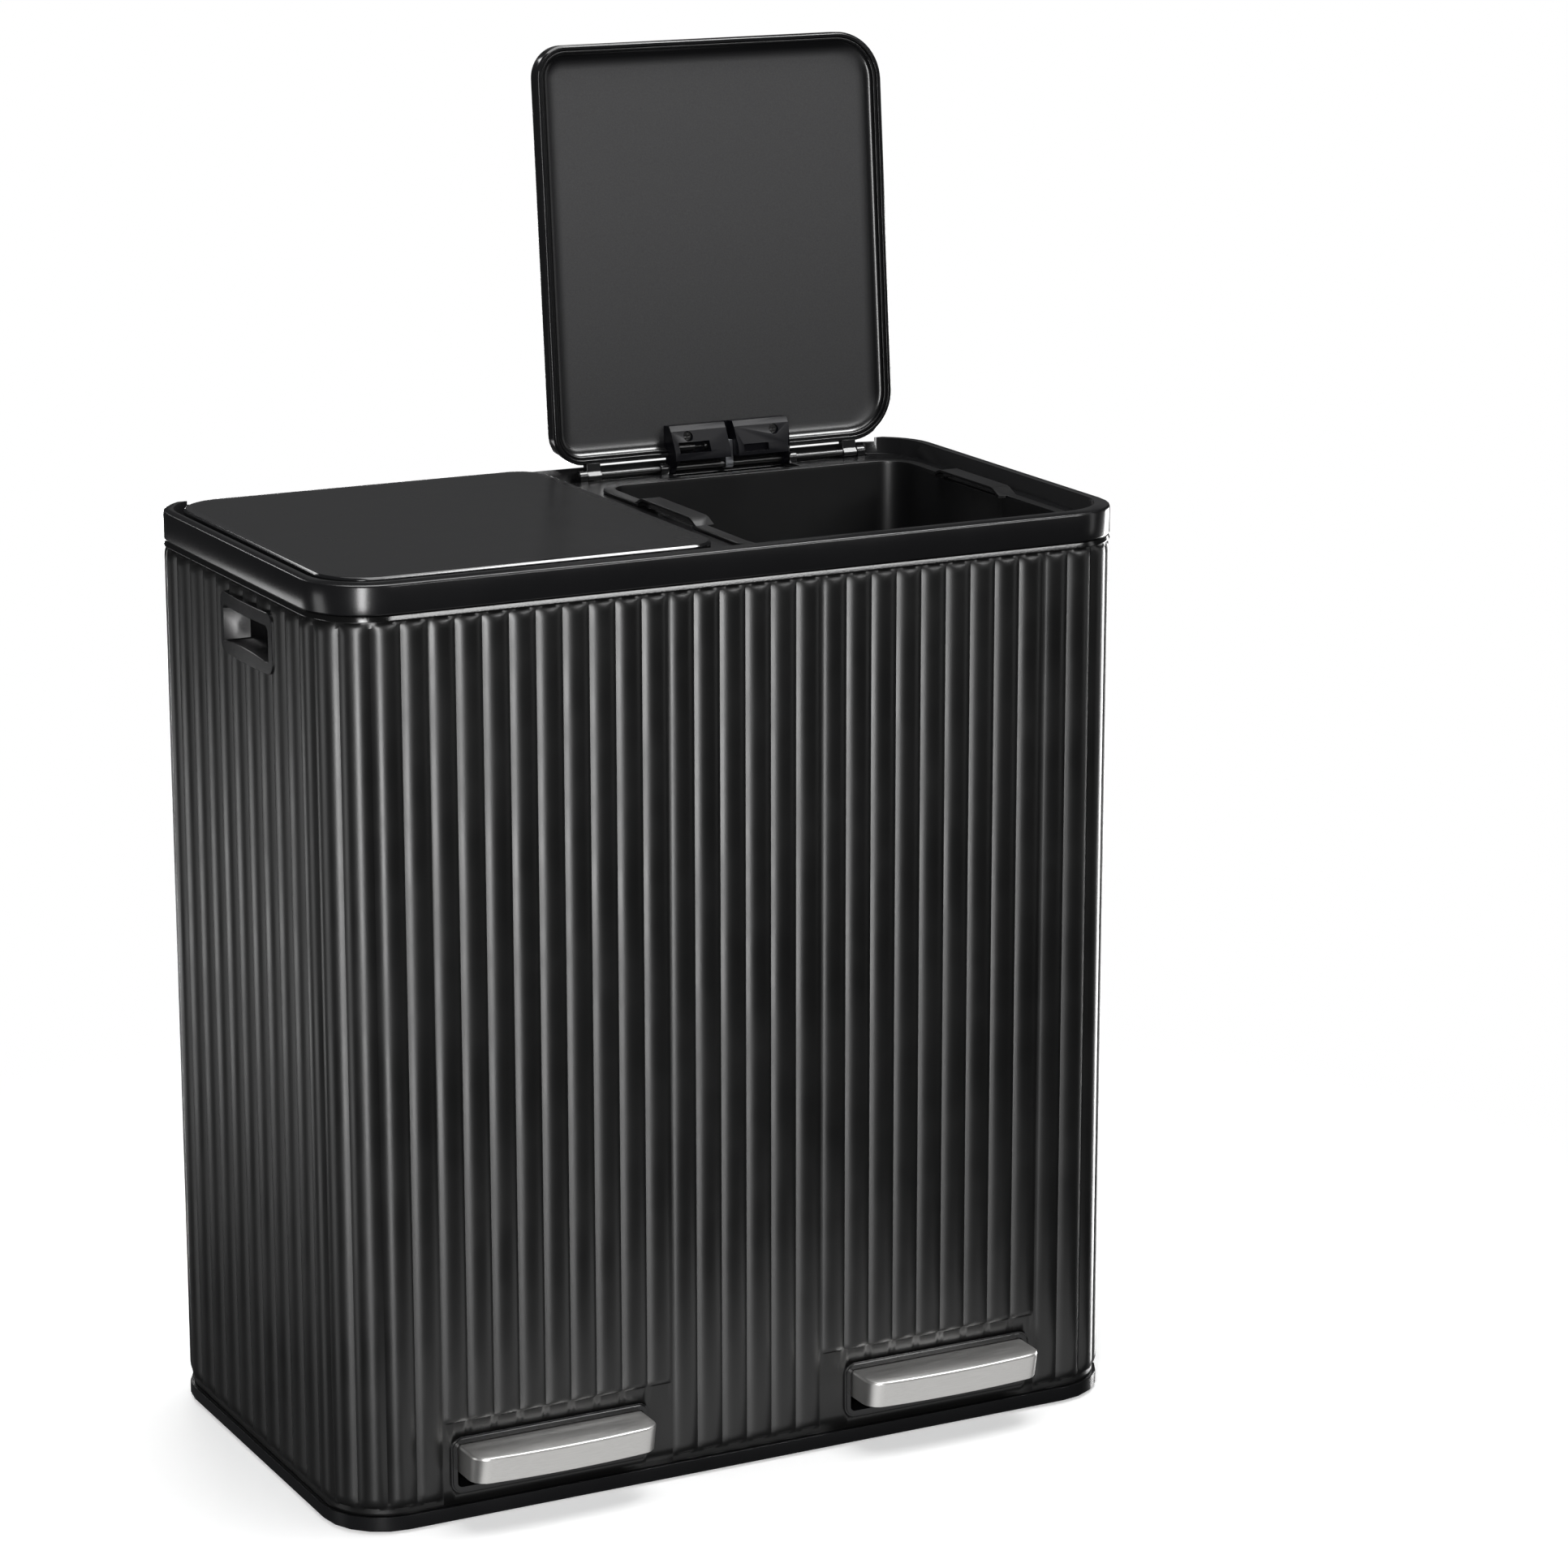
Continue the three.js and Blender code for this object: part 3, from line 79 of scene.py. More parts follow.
# The lids turn about a pin through this point, along X.
PIVOT = np.array([0, 158, 641]) * MM
LID_OPEN = math.radians(95)
print("body", 2 * HALF_W, "x", 2 * HALF_D, "m, sheet up to", BODY_HIGH, "m")

# %% [markdown]
# ## Small tools
# The lids are trays: a rounded rectangle that is carried along a profile and drawn in or
# let out as it rises. One function makes the outline, one rounds the corners of a profile,
# and one numbers the faces of the resulting grid of points, which the sleeve uses too. All
# three work on whole arrays.


# %% Outline, profile and grid
LEAST_RADIUS = 0.3 * MM
FLAT_INSET, FLAT_RADIUS = 20 * MM, 12 * MM


def rounded_outline(rect, radii, inset, per_corner):
    """Points of rounded rectangles. rect is (x0, x1, y0, y1), radii go round from (x0, y0)
    anticlockwise, and inset is an array: each value draws the outline in by that much, so
    a corner of radius r becomes r - inset about the same centre, but at least LEAST_RADIUS.
    Outlines drawn in by over FLAT_INSET lie in flat faces and keep FLAT_RADIUS, which
    spares those faces very thin triangles.
    A corner point is centre + radius * (cos a, sin a), with a over a quarter turn."""
    x0, x1, y0, y1 = rect
    inset = np.atleast_1d(np.asarray(inset, float))[:, None]
    corners = ((x0, y0, 1, 1), (x1, y0, -1, 1), (x1, y1, -1, -1), (x0, y1, 1, -1))
    least = np.where(inset > FLAT_INSET, FLAT_RADIUS, LEAST_RADIUS)
    sweep = np.linspace(0, np.pi / 2, per_corner + 1)[None, :]
    xs, ys = [], []
    for i, (cx, cy, sx, sy) in enumerate(corners):
        r = np.maximum(radii[i] - inset, least)
        angle = np.pi + i * np.pi / 2 + sweep
        xs.append(cx + sx * (inset + r) + r * np.cos(angle))
        ys.append(cy + sy * (inset + r) + r * np.sin(angle))
    return np.concatenate(xs, 1), np.concatenate(ys, 1)


def round_profile(points, radii, steps=4):
    """A polyline (a, b) whose inner corners become arcs. Each corner P between unit
    directions u and v is replaced by a curve from P - u*t to P + v*t, blended as a
    quadratic: (1-s)^2 A + 2s(1-s) P + s^2 B, which is close to a fillet of radius t."""
    points = [np.asarray(p, float) for p in points]
    out = [points[0][None, :]]
    s = np.linspace(0, 1, steps + 1)[:, None]
    for before, p, after, r in zip(points, points[1:], points[2:], radii):
        u, v = p - before, after - p
        lu, lv = np.linalg.norm(u), np.linalg.norm(v)
        t = min(r, 0.49 * lu, 0.49 * lv)
        a, b = p - u / lu * t, p + v / lv * t
        out.append((1 - s) ** 2 * a + 2 * s * (1 - s) * p + s**2 * b)
    out.append(points[-1][None, :])
    return np.concatenate(out)


def grid_faces(rows, cols, wrap, keep=None):
    """Quads of a grid of rows x cols points, numbered row by row. With wrap the last
    column joins the first. keep is a boolean grid that leaves faces out."""
    r = np.arange(rows - 1)[:, None]
    c = np.arange(cols if wrap else cols - 1)[None, :]
    n = (c + 1) % cols
    quads = np.stack(
        [r * cols + c, r * cols + n, (r + 1) * cols + n, (r + 1) * cols + c], -1
    )
    return quads[keep] if keep is not None else quads.reshape(-1, 4)


def make_mesh(name, points, faces, smooth_angle=35):
    """An object at the origin from points (... x 3) and a list of faces. Faces are smooth,
    and edges that bend by more than smooth_angle degrees stay crisp."""
    mesh = bpy.data.meshes.new(name)
    mesh.from_pydata(np.asarray(points, float).reshape(-1, 3), [], faces)
    mesh.validate()
    obj = bpy.data.objects.new(name, mesh)
    bpy.context.collection.objects.link(obj)
    tidy(obj, smooth_angle)
    return obj


def tidy(obj, smooth_angle):
    """Merges points within 2 micrometres, drops faces without area and loose points, and
    shades by angle."""
    bm = bmesh.new()
    bm.from_mesh(obj.data)
    bmesh.ops.remove_doubles(bm, verts=bm.verts, dist=2e-6)
    bmesh.ops.dissolve_degenerate(bm, edges=bm.edges, dist=1e-7)
    loose = [v for v in bm.verts if not v.link_faces]
    bmesh.ops.delete(bm, geom=loose, context="VERTS")
    bm.to_mesh(obj.data)
    bm.free()
    obj.data.polygons.foreach_set("use_smooth", [True] * len(obj.data.polygons))
    obj.data.set_sharp_from_angle(angle=math.radians(smooth_angle))


def write_polish_and_shade(obj, rule):
    """Writes the attribute of polish, which on the lid panels also carries painted shade:
    rule takes all the points (n x 3) and gives 0 to 1.
    """
    flat = np.empty(len(obj.data.vertices) * 3)
    obj.data.vertices.foreach_get("co", flat)
    layer = obj.data.attributes.new("polish", "FLOAT", "POINT")
    layer.data.foreach_set("value", np.clip(rule(flat.reshape(-1, 3)), 0, 1))


def finish_piece(obj, material, body, nodes=()):
    """Gives a piece its material and its body, and hides the nodes that it stands for."""
    obj.data.materials.clear()
    obj.data.materials.append(material)
    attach(obj, body)
    if nodes:
        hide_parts(*nodes)


# %% [markdown]
# ## Materials
# Every finish starts from what the real one is. Colours are written as sRGB hex, as a paint
# card gives them, and one function turns them to the linear values that a renderer adds up.


# %% Colour and nodes
def linear(hex_colour):
    """sRGB hex to linear RGBA: c/12.92 below 0.04045, else ((c + 0.055)/1.055)^2.4."""
    c = np.array([int(hex_colour[i : i + 2], 16) for i in (1, 3, 5)]) / 255
    c = np.where(c <= 0.04045, c / 12.92, ((c + 0.055) / 1.055) ** 2.4)
    return (*c.tolist(), 1.0)


def add_node(tree, kind, settings=None, **inputs):
    """Adds one node. settings are its attributes; an input is a value, or a socket to
    link from. Spaces in an input's name are written as underscores, and i0, i1 and so on
    stand for an input by its number."""
    node = tree.nodes.new(kind)
    for key, value in (settings or {}).items():
        setattr(node, key, value)
    for key, value in inputs.items():
        numbered = key[0] == "i" and key[1:].isdigit()
        socket = node.inputs[int(key[1:]) if numbered else key.replace("_", " ")]
        if isinstance(value, bpy.types.NodeSocket):
            tree.links.new(value, socket)
        else:
            socket.default_value = value
    return node


def new_material(name):
    """An empty node material; returns the material and its tree."""
    material = bpy.data.materials.new(name)
    material.use_nodes = True
    material.node_tree.nodes.clear()
    return material, material.node_tree


def noise(tree, coords, scale, detail, roughness=0.5):
    """Soft random grain from 0 to 1, with scale waves to the metre."""
    node = add_node(
        tree, "ShaderNodeTexNoise",
        Vector=coords, Scale=scale, Detail=detail, Roughness=roughness,
    )
    return node.outputs["Fac"]


def mixed(tree, factor, first, second):
    """The colour that lies between first, at a factor of 0, and second, at 1."""
    node = add_node(
        tree, "ShaderNodeMix", {"data_type": "RGBA"}, Factor=factor, i6=first, i7=second
    )
    return node.outputs[2]


def spread(tree, value, low, high, start=0.0, end=1.0):
    """A number that runs from low to high while value runs from start to end."""
    node = add_node(
        tree, "ShaderNodeMapRange",
        Value=value, From_Min=start, From_Max=end, To_Min=low, To_Max=high,
    )
    return node.outputs[0]


def bumped(tree, height, strength, depth_mm):
    """A normal that tilts as if height, from 0 to 1, were depth_mm deep."""
    node = add_node(
        tree, "ShaderNodeBump", Strength=strength, Distance=depth_mm * MM, Height=height
    )
    return node.outputs[0]


def surface(tree, **inputs):
    """The Principled shader with these inputs, joined to the material's output."""
    shader = add_node(tree, "ShaderNodeBsdfPrincipled", **inputs)
    add_node(tree, "ShaderNodeOutputMaterial", Surface=shader.outputs[0])


# Noise seldom leaves this span, so a roughness that follows it uses all of its range.
NOISE_SPAN = (0.3, 0.7)
print("black of the sleeve in linear values:", linear("#090909"))


# %% [markdown]
# ### Powder-coated steel
# The body is sheet steel, rolled into flutes and powder coated in satin black. Powder melts
# into a film with a very fine orange peel, drawn here about 0.9 mm from crest to crest. The
# film is a dielectric, so it isn't metallic: roughness is 0.3 to 0.39, and it varies a
# little where hands and cloths have been. The eye reads it from the soft, slightly broken
# line of light on each flute.


# %% Powder-coated steel
RUBBED_ROUGHNESS = 0.13
PATCHES_PER_M = 14.0
GRAIN_DEPTH_MM = 0.12


def coated_surface(name, colour, lighter, grain_mm, bump, rough, rough_span, specular):
    """A dyed or coated surface: two close colours mixed by broad noise, roughness varied
    by the same noise, and a bump from fine grain of the stated size. Where the mesh has an
    attribute called polish, edges rubbed smooth by use get RUBBED_ROUGHNESS."""
    material, tree = new_material(name)
    coords = add_node(tree, "ShaderNodeTexCoord").outputs["Object"]
    broad = noise(tree, coords, PATCHES_PER_M, 3.0, 0.6)
    fine = noise(tree, coords, 1.0 / (grain_mm * MM), 2.0, 0.55)
    shade = mixed(tree, broad, linear(colour), linear(lighter))
    roughness = spread(tree, broad, rough, rough + rough_span, *NOISE_SPAN)
    polish = add_node(tree, "ShaderNodeAttribute", {"attribute_name": "polish"})
    rubbed = add_node(
        tree,
        "ShaderNodeMix",
        {"data_type": "FLOAT"},
        Factor=polish.outputs["Fac"],
        i2=roughness,
        i3=RUBBED_ROUGHNESS,
    )
    surface(
        tree,
        Base_Color=shade,
        Roughness=rubbed.outputs[0],
        Normal=bumped(tree, fine, bump, GRAIN_DEPTH_MM),
        IOR=1.5,
        Specular_IOR_Level=specular,
    )
    return material


POWDER_COAT = coated_surface(
    "powder_coated_steel", "#090909", "#0e0e0e", 0.9, 0.3, 0.3, 0.09, 0.5
)
print(POWDER_COAT.name)

# %% [markdown]
# ### Moulded plastics
# Rim, plinth, cups and frames are black polypropylene, moulded against a spark-eroded
# surface, which gives an even satin. The lids are the same plastic dyed charcoal and a
# little more matt, and the buckets a plain black one, more matt still. An edge that hands
# and bags rub turns smooth and catches a bright line. The hinge blocks are smoky ABS that
# hardly shines, and the rubber feet look dull and dusty. The real grain is about 0.3 mm; it
# is drawn at 0.5 to 0.8 mm so that it shows.

# %% Moulded plastics
# In order: name, colour, lighter colour, grain in mm, strength of the bump, lowest
# roughness, how far it rises from there, specular level.
SATIN_PP = coated_surface(
    "satin_polypropylene", "#0e0e0f", "#131314", 0.7, 0.12, 0.2, 0.05, 0.4
)
LID_PP = coated_surface(
    "charcoal_lid_polypropylene", "#131314", "#171718", 0.8, 0.05, 0.27, 0.04, 0.4
)
BUCKET_PP = coated_surface(
    "bucket_polypropylene", "#0b0b0c", "#0f0f10", 0.8, 0.15, 0.34, 0.06, 0.28
)
EDGE_PP = coated_surface(
    "rubbed_edge_polypropylene", "#131314", "#171718", 0.7, 0.03, 0.12, 0.04, 0.6
)
HINGE_ABS = coated_surface(
    "smoky_hinge_abs", "#08080b", "#0c0c11", 0.5, 0.08, 0.36, 0.06, 0.08
)
FOOT_RUBBER = coated_surface(
    "foot_rubber", "#0f0f0f", "#141414", 0.6, 0.4, 0.75, 0.1, 0.3
)
print("coated and moulded materials:", len(bpy.data.materials))

# %% [markdown]
# ### Inner panel of a lid
# The panel's face is spark-eroded to hide scratches, and the mould is polished where the
# face runs into the border. The piece carries an attribute that is 0 on the face and 1 on
# the border; it lowers the roughness and the depth of the grain there, and darkens the
# colour towards the border as painted shade.

# %% Panel plastic
PANEL_GRAIN_MM = 1.1
# Roughness and strength of the grain, on the face and on the border.
PANEL_ROUGH, PANEL_BUMP = (0.48, 0.22), (0.3, 0.03)


def panel_plastic():
    """Fine grain on the face, fading to a smooth border whose colour is painted darker as
    shade.
    """
    material, tree = new_material("panel_polypropylene")
    coords = add_node(tree, "ShaderNodeTexCoord").outputs["Object"]
    polish = add_node(tree, "ShaderNodeAttribute", {"attribute_name": "polish"}).outputs["Fac"]
    grain = noise(tree, coords, 1 / (PANEL_GRAIN_MM * MM), 2.0)
    speckle = mixed(tree, grain, linear("#1d1d1e"), linear("#323233"))
    # Painted shade: the colour darkens to near black towards the border.
    shade = mixed(tree, polish, speckle, linear("#0b0b0c"))
    roughness = spread(tree, polish, *PANEL_ROUGH)
    strength = spread(tree, polish, *PANEL_BUMP)
    surface(
        tree,
        Base_Color=shade,
        Roughness=roughness,
        Normal=bumped(tree, grain, strength, GRAIN_DEPTH_MM),
        Specular_IOR_Level=0.4,
    )
    return material


PANEL_PP = panel_plastic()
print(PANEL_PP.name)

# %% [markdown]
# ### Metals
# The pedals are stainless steel, brushed along their length. Brushing leaves fine scratches,
# tens of millimetres long, which stretch the highlight across the grain; they are drawn
# 0.35 mm wide. The levers, rods and axles are zinc-plated steel, which is duller and a
# little blue, with short, broad stains.


# %% Brushed and plated steel
SCRATCH_DEPTH_MM = 0.05
SCRATCH_SPAN = 0.12


def scratched_metal(name, colour, darker, rough, line_mm, length_mm, strength):
    """Bare metal with straight scratches along X: noise squeezed to line_mm across the
    grain and drawn out to length_mm along it drives roughness, tone and bump."""
    material, tree = new_material(name)
    coords = add_node(tree, "ShaderNodeTexCoord").outputs["Object"]
    along, across = 1 / (length_mm * MM), 1 / (line_mm * MM)
    squeeze = add_node(
        tree, "ShaderNodeMapping", Vector=coords, Scale=(along, across, across)
    )
    lines = noise(tree, squeeze.outputs[0], 1.0, 3.0)
    surface(
        tree,
        Base_Color=mixed(tree, lines, linear(darker), linear(colour)),
        Metallic=1.0,
        Roughness=spread(tree, lines, rough, rough + SCRATCH_SPAN, *NOISE_SPAN),
        Normal=bumped(tree, lines, strength, SCRATCH_DEPTH_MM),
    )
    return material


BRUSHED_STAINLESS = scratched_metal(
    "brushed_stainless", "#cfcecc", "#b0afad", 0.33, 0.35, 30, 0.5
)
ZINC_PLATE = scratched_metal("zinc_plated_steel", "#9a9ca0", "#85878b", 0.34, 1.5, 4, 0.15)
print(BRUSHED_STAINLESS.name, ZINC_PLATE.name)

# %% [markdown]
# ## The fluted sleeve
# The body is one sheet, rolled into convex flutes with narrow valleys, like a barrel vault
# repeated round the outline. Across one flute the height is
#
#     rise(t) = RIB * (1 - |2t - 1|^2.2),   t = 0..1 across the flute
#
# which is round on top and drops steeply into the valley. Each flute ends in a dome, a
# quarter of an ellipse as long as FADE: fade(u) = sqrt(1 - (1 - u)^2), u = 0..1. The points
# are found all at once, as a grid: columns go round the outline, rows go up.

# %% Columns round the outline
# Widths of a flute on the front and on the side, and flutes from the front's middle to the
# corner, from the corner to the side's middle, and round the corner between them.
PITCH_FRONT, PITCH_SIDE = 19.1 * MM, 24.87 * MM
FRONT_RIBS, SIDE_RIBS, CORNER_RIBS = 13, 4.5, 4
# Columns to a flute, and the power that makes it blunt on top.
PER_RIB, BLUNT = 10, 2.2
# A pad for the pedal lies between these valleys, counted from the middle. At each of its
# ends stands a second column, this share of a flute further in, which makes the step.
PADS, PAD_STEP = (3, 12), 0.004


def quarter_outline():
    """Columns from the middle of the front to the middle of the right side. Returns x, y,
    the outward normal, the place t across the flute, and whether a pad lies below. Along
    the corner a distance d is straight, then an arc of angle (d - flat) / radius, then
    straight again."""
    radius = CORNER - RIB
    valley_x, valley_y = HALF_W - RIB, HALF_D - RIB
    cx, cy = HALF_W - CORNER, CORNER - HALF_D
    front_end, side_start = FRONT_RIBS * PITCH_FRONT, SIDE_RIBS * PITCH_SIDE
    flat_front = cx - front_end
    bend = radius * math.pi / 2
    length = flat_front + bend + (-cy - side_start)
    share = np.arange(PER_RIB) / PER_RIB

    place = (np.arange(FRONT_RIBS)[:, None] + share[None, :]).ravel()
    pad = (place > PADS[0] + 1e-6) & (place < PADS[1] - 1e-6)
    place = np.concatenate([place, [PADS[0] + PAD_STEP, PADS[1] - PAD_STEP]])
    pad = np.concatenate([pad, [True, True]])
    order = np.argsort(place)
    place, pad = place[order], pad[order]
    x1, t1 = place * PITCH_FRONT, place % 1
    # The pads' extra columns keep to the bottom of the valley.
    t1[np.minimum(t1, 1 - t1) < 0.01] = 0
    front = np.stack([x1, x1 * 0 - valley_y, x1 * 0, x1 * 0 - 1, t1, pad], 1)

    place = (np.arange(CORNER_RIBS)[:, None] + share[None, :]).ravel()
    d = place / CORNER_RIBS * length
    angle = np.clip((d - flat_front) / radius, 0, math.pi / 2)
    before = np.minimum(d - flat_front, 0)
    after = np.maximum(d - flat_front - bend, 0)
    nx, ny = np.sin(angle), -np.cos(angle)
    corner = np.stack(
        [cx + radius * nx + before, cy + radius * ny + after, nx, ny, place % 1, d * 0], 1
    )

    place = np.arange(0, SIDE_RIBS, 1 / PER_RIB)
    y3 = -side_start + place * PITCH_SIDE
    side = np.stack([y3 * 0 + valley_x, y3, y3 * 0 + 1, y3 * 0, place % 1, y3 * 0], 1)
    return np.concatenate([front, corner, side])


def whole_outline():
    """The quarter and its three mirror images, in order round the body. The pads are only
    on the front."""
    q = quarter_outline()
    plain = q.copy()
    plain[:, 5] = 0
    mirror_x, mirror_y = np.array([-1, 1, -1, 1, 1, 1]), np.array([1, -1, 1, -1, 1, 1])
    middle = np.array([[HALF_W - RIB, 0, 1, 0, 0.5, 0]])
    right = np.concatenate([q, middle, (plain * mirror_y)[::-1]])
    return np.concatenate([right, (right[1:-1] * mirror_x)[::-1]])


outline = whole_outline()
print("columns round the body:", len(outline))

# %% [markdown]
# Rows go from the bottom edge through the lower domes, the straight flutes and the upper
# domes to the bead, where the sheet is rolled outwards to a safe edge. Above a pedal the
# flutes start higher, so the rows bunch up there: that keeps one regular grid and still
# leaves a plain pad for the pedal's frame. Faces inside the holes for the pedals and the
# handle cups are left out.

# %% Rows of the sleeve
# Lengths of the domes, and the heights where those above a pad, below the bead and at the
# bottom edge begin.
FADE, PAD_FADE = 8 * MM, 5 * MM
PAD_TOP, HIGH_END, LOW_START = 70.5 * MM, BODY_HIGH - 4.8 * MM, BODY_LOW + 5 * MM
# Holes: the pedals' middle and half width along X, the cups' along Y, and their heights.
PEDAL_X, PEDAL_HALF, PEDAL_HEIGHTS = 150 * MM, 71.5 * MM, (23.5 * MM, 57 * MM)
CUP_Y, CUP_HALF, CUP_HEIGHTS = -26.5 * MM, 43.5 * MM, (578.5 * MM, 613.9 * MM)
# Heights of the plain rows below the domes: at the bottom edge and away from the pads.
PLAIN_ROWS = (14 * MM, 16 * MM)
# The straight flutes rise in four equal steps to STRAIGHT_TO and go on through UPPER_ROWS.
# Rows at and just outside the cups' holes keep the shading round them even.
STRAIGHT_TO = 420 * MM
UPPER_ROWS = np.array([500, 576.5, 578.5, 613.9, 615.5]) * MM
SHEET = 0.8 * MM
# The bead is rubbed smooth: polish rises from 0 to 1 over POLISH_RUN, from this far below
# BODY_HIGH.
BEAD_LOW, POLISH_RUN = 4.3 * MM, 0.2 * MM
dome = np.sin(np.linspace(0, math.pi / 2, 9))[1:]
dome_rise = np.sqrt(1 - (1 - dome) ** 2)
# The bead as (height from BODY_HIGH, distance out of the valley), from below.
bead = np.array(
    [[-4.2, 0], [-4.15, 1.2], [-4.0, 2.3], [-3.75, 2.85], [-3.4, 2.95], [-3.3, 2.92],
     [-0.8, 2.07], [-0.7, 2.03], [-0.3, 1.6], [0, 0.9], [0, -0.5]]
) * MM


def sleeve_points():
    """Grid of the sleeve. Row heights depend on whether a column has a pad below, and the
    point is base + normal * (RIB * rise(t) * fade(row) + bead(row))."""
    x, y, nx, ny, t, pad = outline.T
    rise = 1 - np.abs(2 * t - 1) ** BLUNT
    above_pad = pad > 0
    start = np.where(above_pad, PAD_TOP, LOW_START)
    low = np.stack([
        x * 0 + BODY_LOW,
        np.where(above_pad, PEDAL_HEIGHTS[0], PLAIN_ROWS[0]),
        np.where(above_pad, PEDAL_HEIGHTS[1], PLAIN_ROWS[1]),
        start,
    ])
    length = np.where(above_pad, PAD_FADE, FADE)
    low_dome = start[None, :] + dome[:, None] * length[None, :]
    straight = np.linspace(start + length, x * 0 + STRAIGHT_TO, 5)[1:]
    high_dome = np.append(HIGH_END - dome[::-1][1:] * FADE, HIGH_END)
    level = np.concatenate([UPPER_ROWS, high_dome, BODY_HIGH + bead[:, 0]])
    level = np.repeat(level[:, None], len(x), 1)
    z = np.concatenate([low, low_dome, straight, level])
    full = np.ones(len(straight) + len(UPPER_ROWS))
    fade = np.concatenate(
        [np.zeros(len(low)), dome_rise, full, dome_rise[::-1][1:], [0], bead[:, 1] * 0]
    )
    out = np.concatenate([np.zeros(len(fade) - len(bead)), bead[:, 1]])
    offset = RIB * rise[None, :] * fade[:, None] + out[:, None]
    return np.stack([x + nx * offset, y + ny * offset, z], -1)


def between(values, limits):
    """Where values lie between the two limits."""
    return (values > limits[0]) & (values < limits[1])


# The pedals' holes are only in the front and the cups' only in the sides: there a face lies
# further out than this share of the half depth or half width.
NEAR_WALL = 0.9
points = sleeve_points()
rows, cols = points.shape[:2]
middle = (points[:-1] + points[1:]) / 2
middle = (middle + np.roll(middle, -1, 1)) / 2
mid_x, mid_y, mid_z = middle[..., 0], middle[..., 1], middle[..., 2]
pedal_hole = (np.abs(np.abs(mid_x) - PEDAL_X) < PEDAL_HALF) & between(mid_z, PEDAL_HEIGHTS)
pedal_hole &= mid_y < -NEAR_WALL * HALF_D
cup_hole = (np.abs(mid_y - CUP_Y) < CUP_HALF) & between(mid_z, CUP_HEIGHTS)
cup_hole &= np.abs(mid_x) > NEAR_WALL * HALF_W
faces = grid_faces(rows, cols, True, keep=~(pedal_hole | cup_hole))
sleeve = make_mesh("fluted_sleeve", points, [tuple(f) for f in faces.tolist()], 40)
write_polish_and_shade(sleeve, lambda p: (p[:, 2] - BODY_HIGH + BEAD_LOW) / POLISH_RUN)
finish_piece(sleeve, POWDER_COAT, "bin_body", ["outer_body"])
thickness = sleeve.modifiers.new("sheet", "SOLIDIFY")
thickness.thickness = SHEET
thickness.offset = -1
print("sleeve:", rows, "x", cols, "points,", len(faces), "faces")


# %% [markdown]
# ## Lids
# A lid is two trays, one inside the other: the shell, with a flat bevel round its top and
# one at the end of its skirt, and the inner panel, whose sides run into its face through a
# long hollow curve. Both are a rounded rectangle carried along a profile. At the back the
# hinge block needs room, so there the skirt is cut away: in those columns every point is
# lifted to the level of the panel's face, height = max(z, FACE), which closes the notch
# without a cut.

# %% Lid surfaces
# Outline and corner radii of the right lid when shut, the ends of the notch along X, and
# the height of the panel's face.
LID_RECT = np.array([10, 288, -150.5, 150]) * MM
LID_RADII = np.array([23, 36, 36, 23]) * MM
NOTCH = (100.7 * MM, 197.3 * MM)
FACE = 646.8 * MM
# Profiles as (inset, height): the shell from the inside of its top down the skirt, up the
# outside and over the top, and the panel from its hidden side to its face.
SHELL_CORNERS = [
    [3.5, 646], [3.5, 639.5], [1.3, 639.5], [0, 640.8], [0, 650], [1.5, 651.5], [8, 651.5]
]
SHELL_PROFILE = np.concatenate([
    [[3.5, 649.5]],
    round_profile(SHELL_CORNERS, [0.4, 0.3, 0.3, 0.3, 0.3]),
    [[30, 651.5]],
]) * MM
hollow = np.linspace(0, math.pi / 2, 10)
PANEL_PROFILE = np.concatenate([
    [[3.8, 649.2]],
    round_profile([[3.8, 645], [3.8, 641.0], [6.0, 641.0], [6.0, 643.0]], [0.6, 0.6], 4),
    np.stack([6.0 + 12 * (1 - np.cos(hollow)), 643.0 + 3.8 * np.sin(hollow)], 1)[1:],
    [[24, 646.8], [40, 646.8]],
]) * MM
# Rows further in than this aren't lifted over the notch, because they are level with FACE
# or above it already.
LIFTED_TO = 25 * MM


def lid_grid(profile, per_corner=14):
    """Rows follow the profile, columns the outline with two pairs of columns at the ends of
    the notch; there the height is max(z, FACE)."""
    x, y = rounded_outline(LID_RECT, LID_RADII, profile[:, 0], per_corner)
    z = np.repeat(profile[:, 1:2], x.shape[1], 1)
    cut = 3 * (per_corner + 1)
    edge = 0.02 * MM
    notch_x = np.array([NOTCH[1] + edge, NOTCH[1], NOTCH[0], NOTCH[0] - edge])
    x = np.insert(x, [cut] * 4, np.repeat(notch_x[None, :], len(profile), 0), 1)
    y = np.insert(y, [cut] * 4, np.repeat(y[:, cut : cut + 1], 4, 1), 1)
    z = np.insert(z, [cut] * 4, np.repeat(z[:, cut : cut + 1], 4, 1), 1)
    lift = np.zeros(x.shape[1], bool)
    lift[cut + 1 : cut + 3] = True
    z = np.where(lift[None, :] & (profile[:, :1] < LIFTED_TO), np.maximum(z, FACE), z)
    return np.stack([x, y, z], -1)


def swung(points, angle):
    """Points turned about the hinge pin: with (u, v) measured from the pin,
    u' = u cos a + v sin a and v' = v cos a - u sin a, which lifts the front edge."""
    c, s = math.cos(angle), math.sin(angle)
    u, v = points[..., 1] - PIVOT[1], points[..., 2] - PIVOT[2]
    return np.stack([points[..., 0], PIVOT[1] + u * c + v * s, PIVOT[2] + v * c - u * s], -1)


def prism_faces(count, start=0):
    """Sides and ends of a bar whose two end rings have count points each."""
    k = np.arange(count)
    n = (k + 1) % count
    sides = np.stack([k, n, n + count, k + count], 1) + start
    first = tuple(range(start + count - 1, start - 1, -1))
    last = tuple(range(start + count, start + 2 * count))
    return [tuple(f) for f in sides.tolist()] + [first, last]


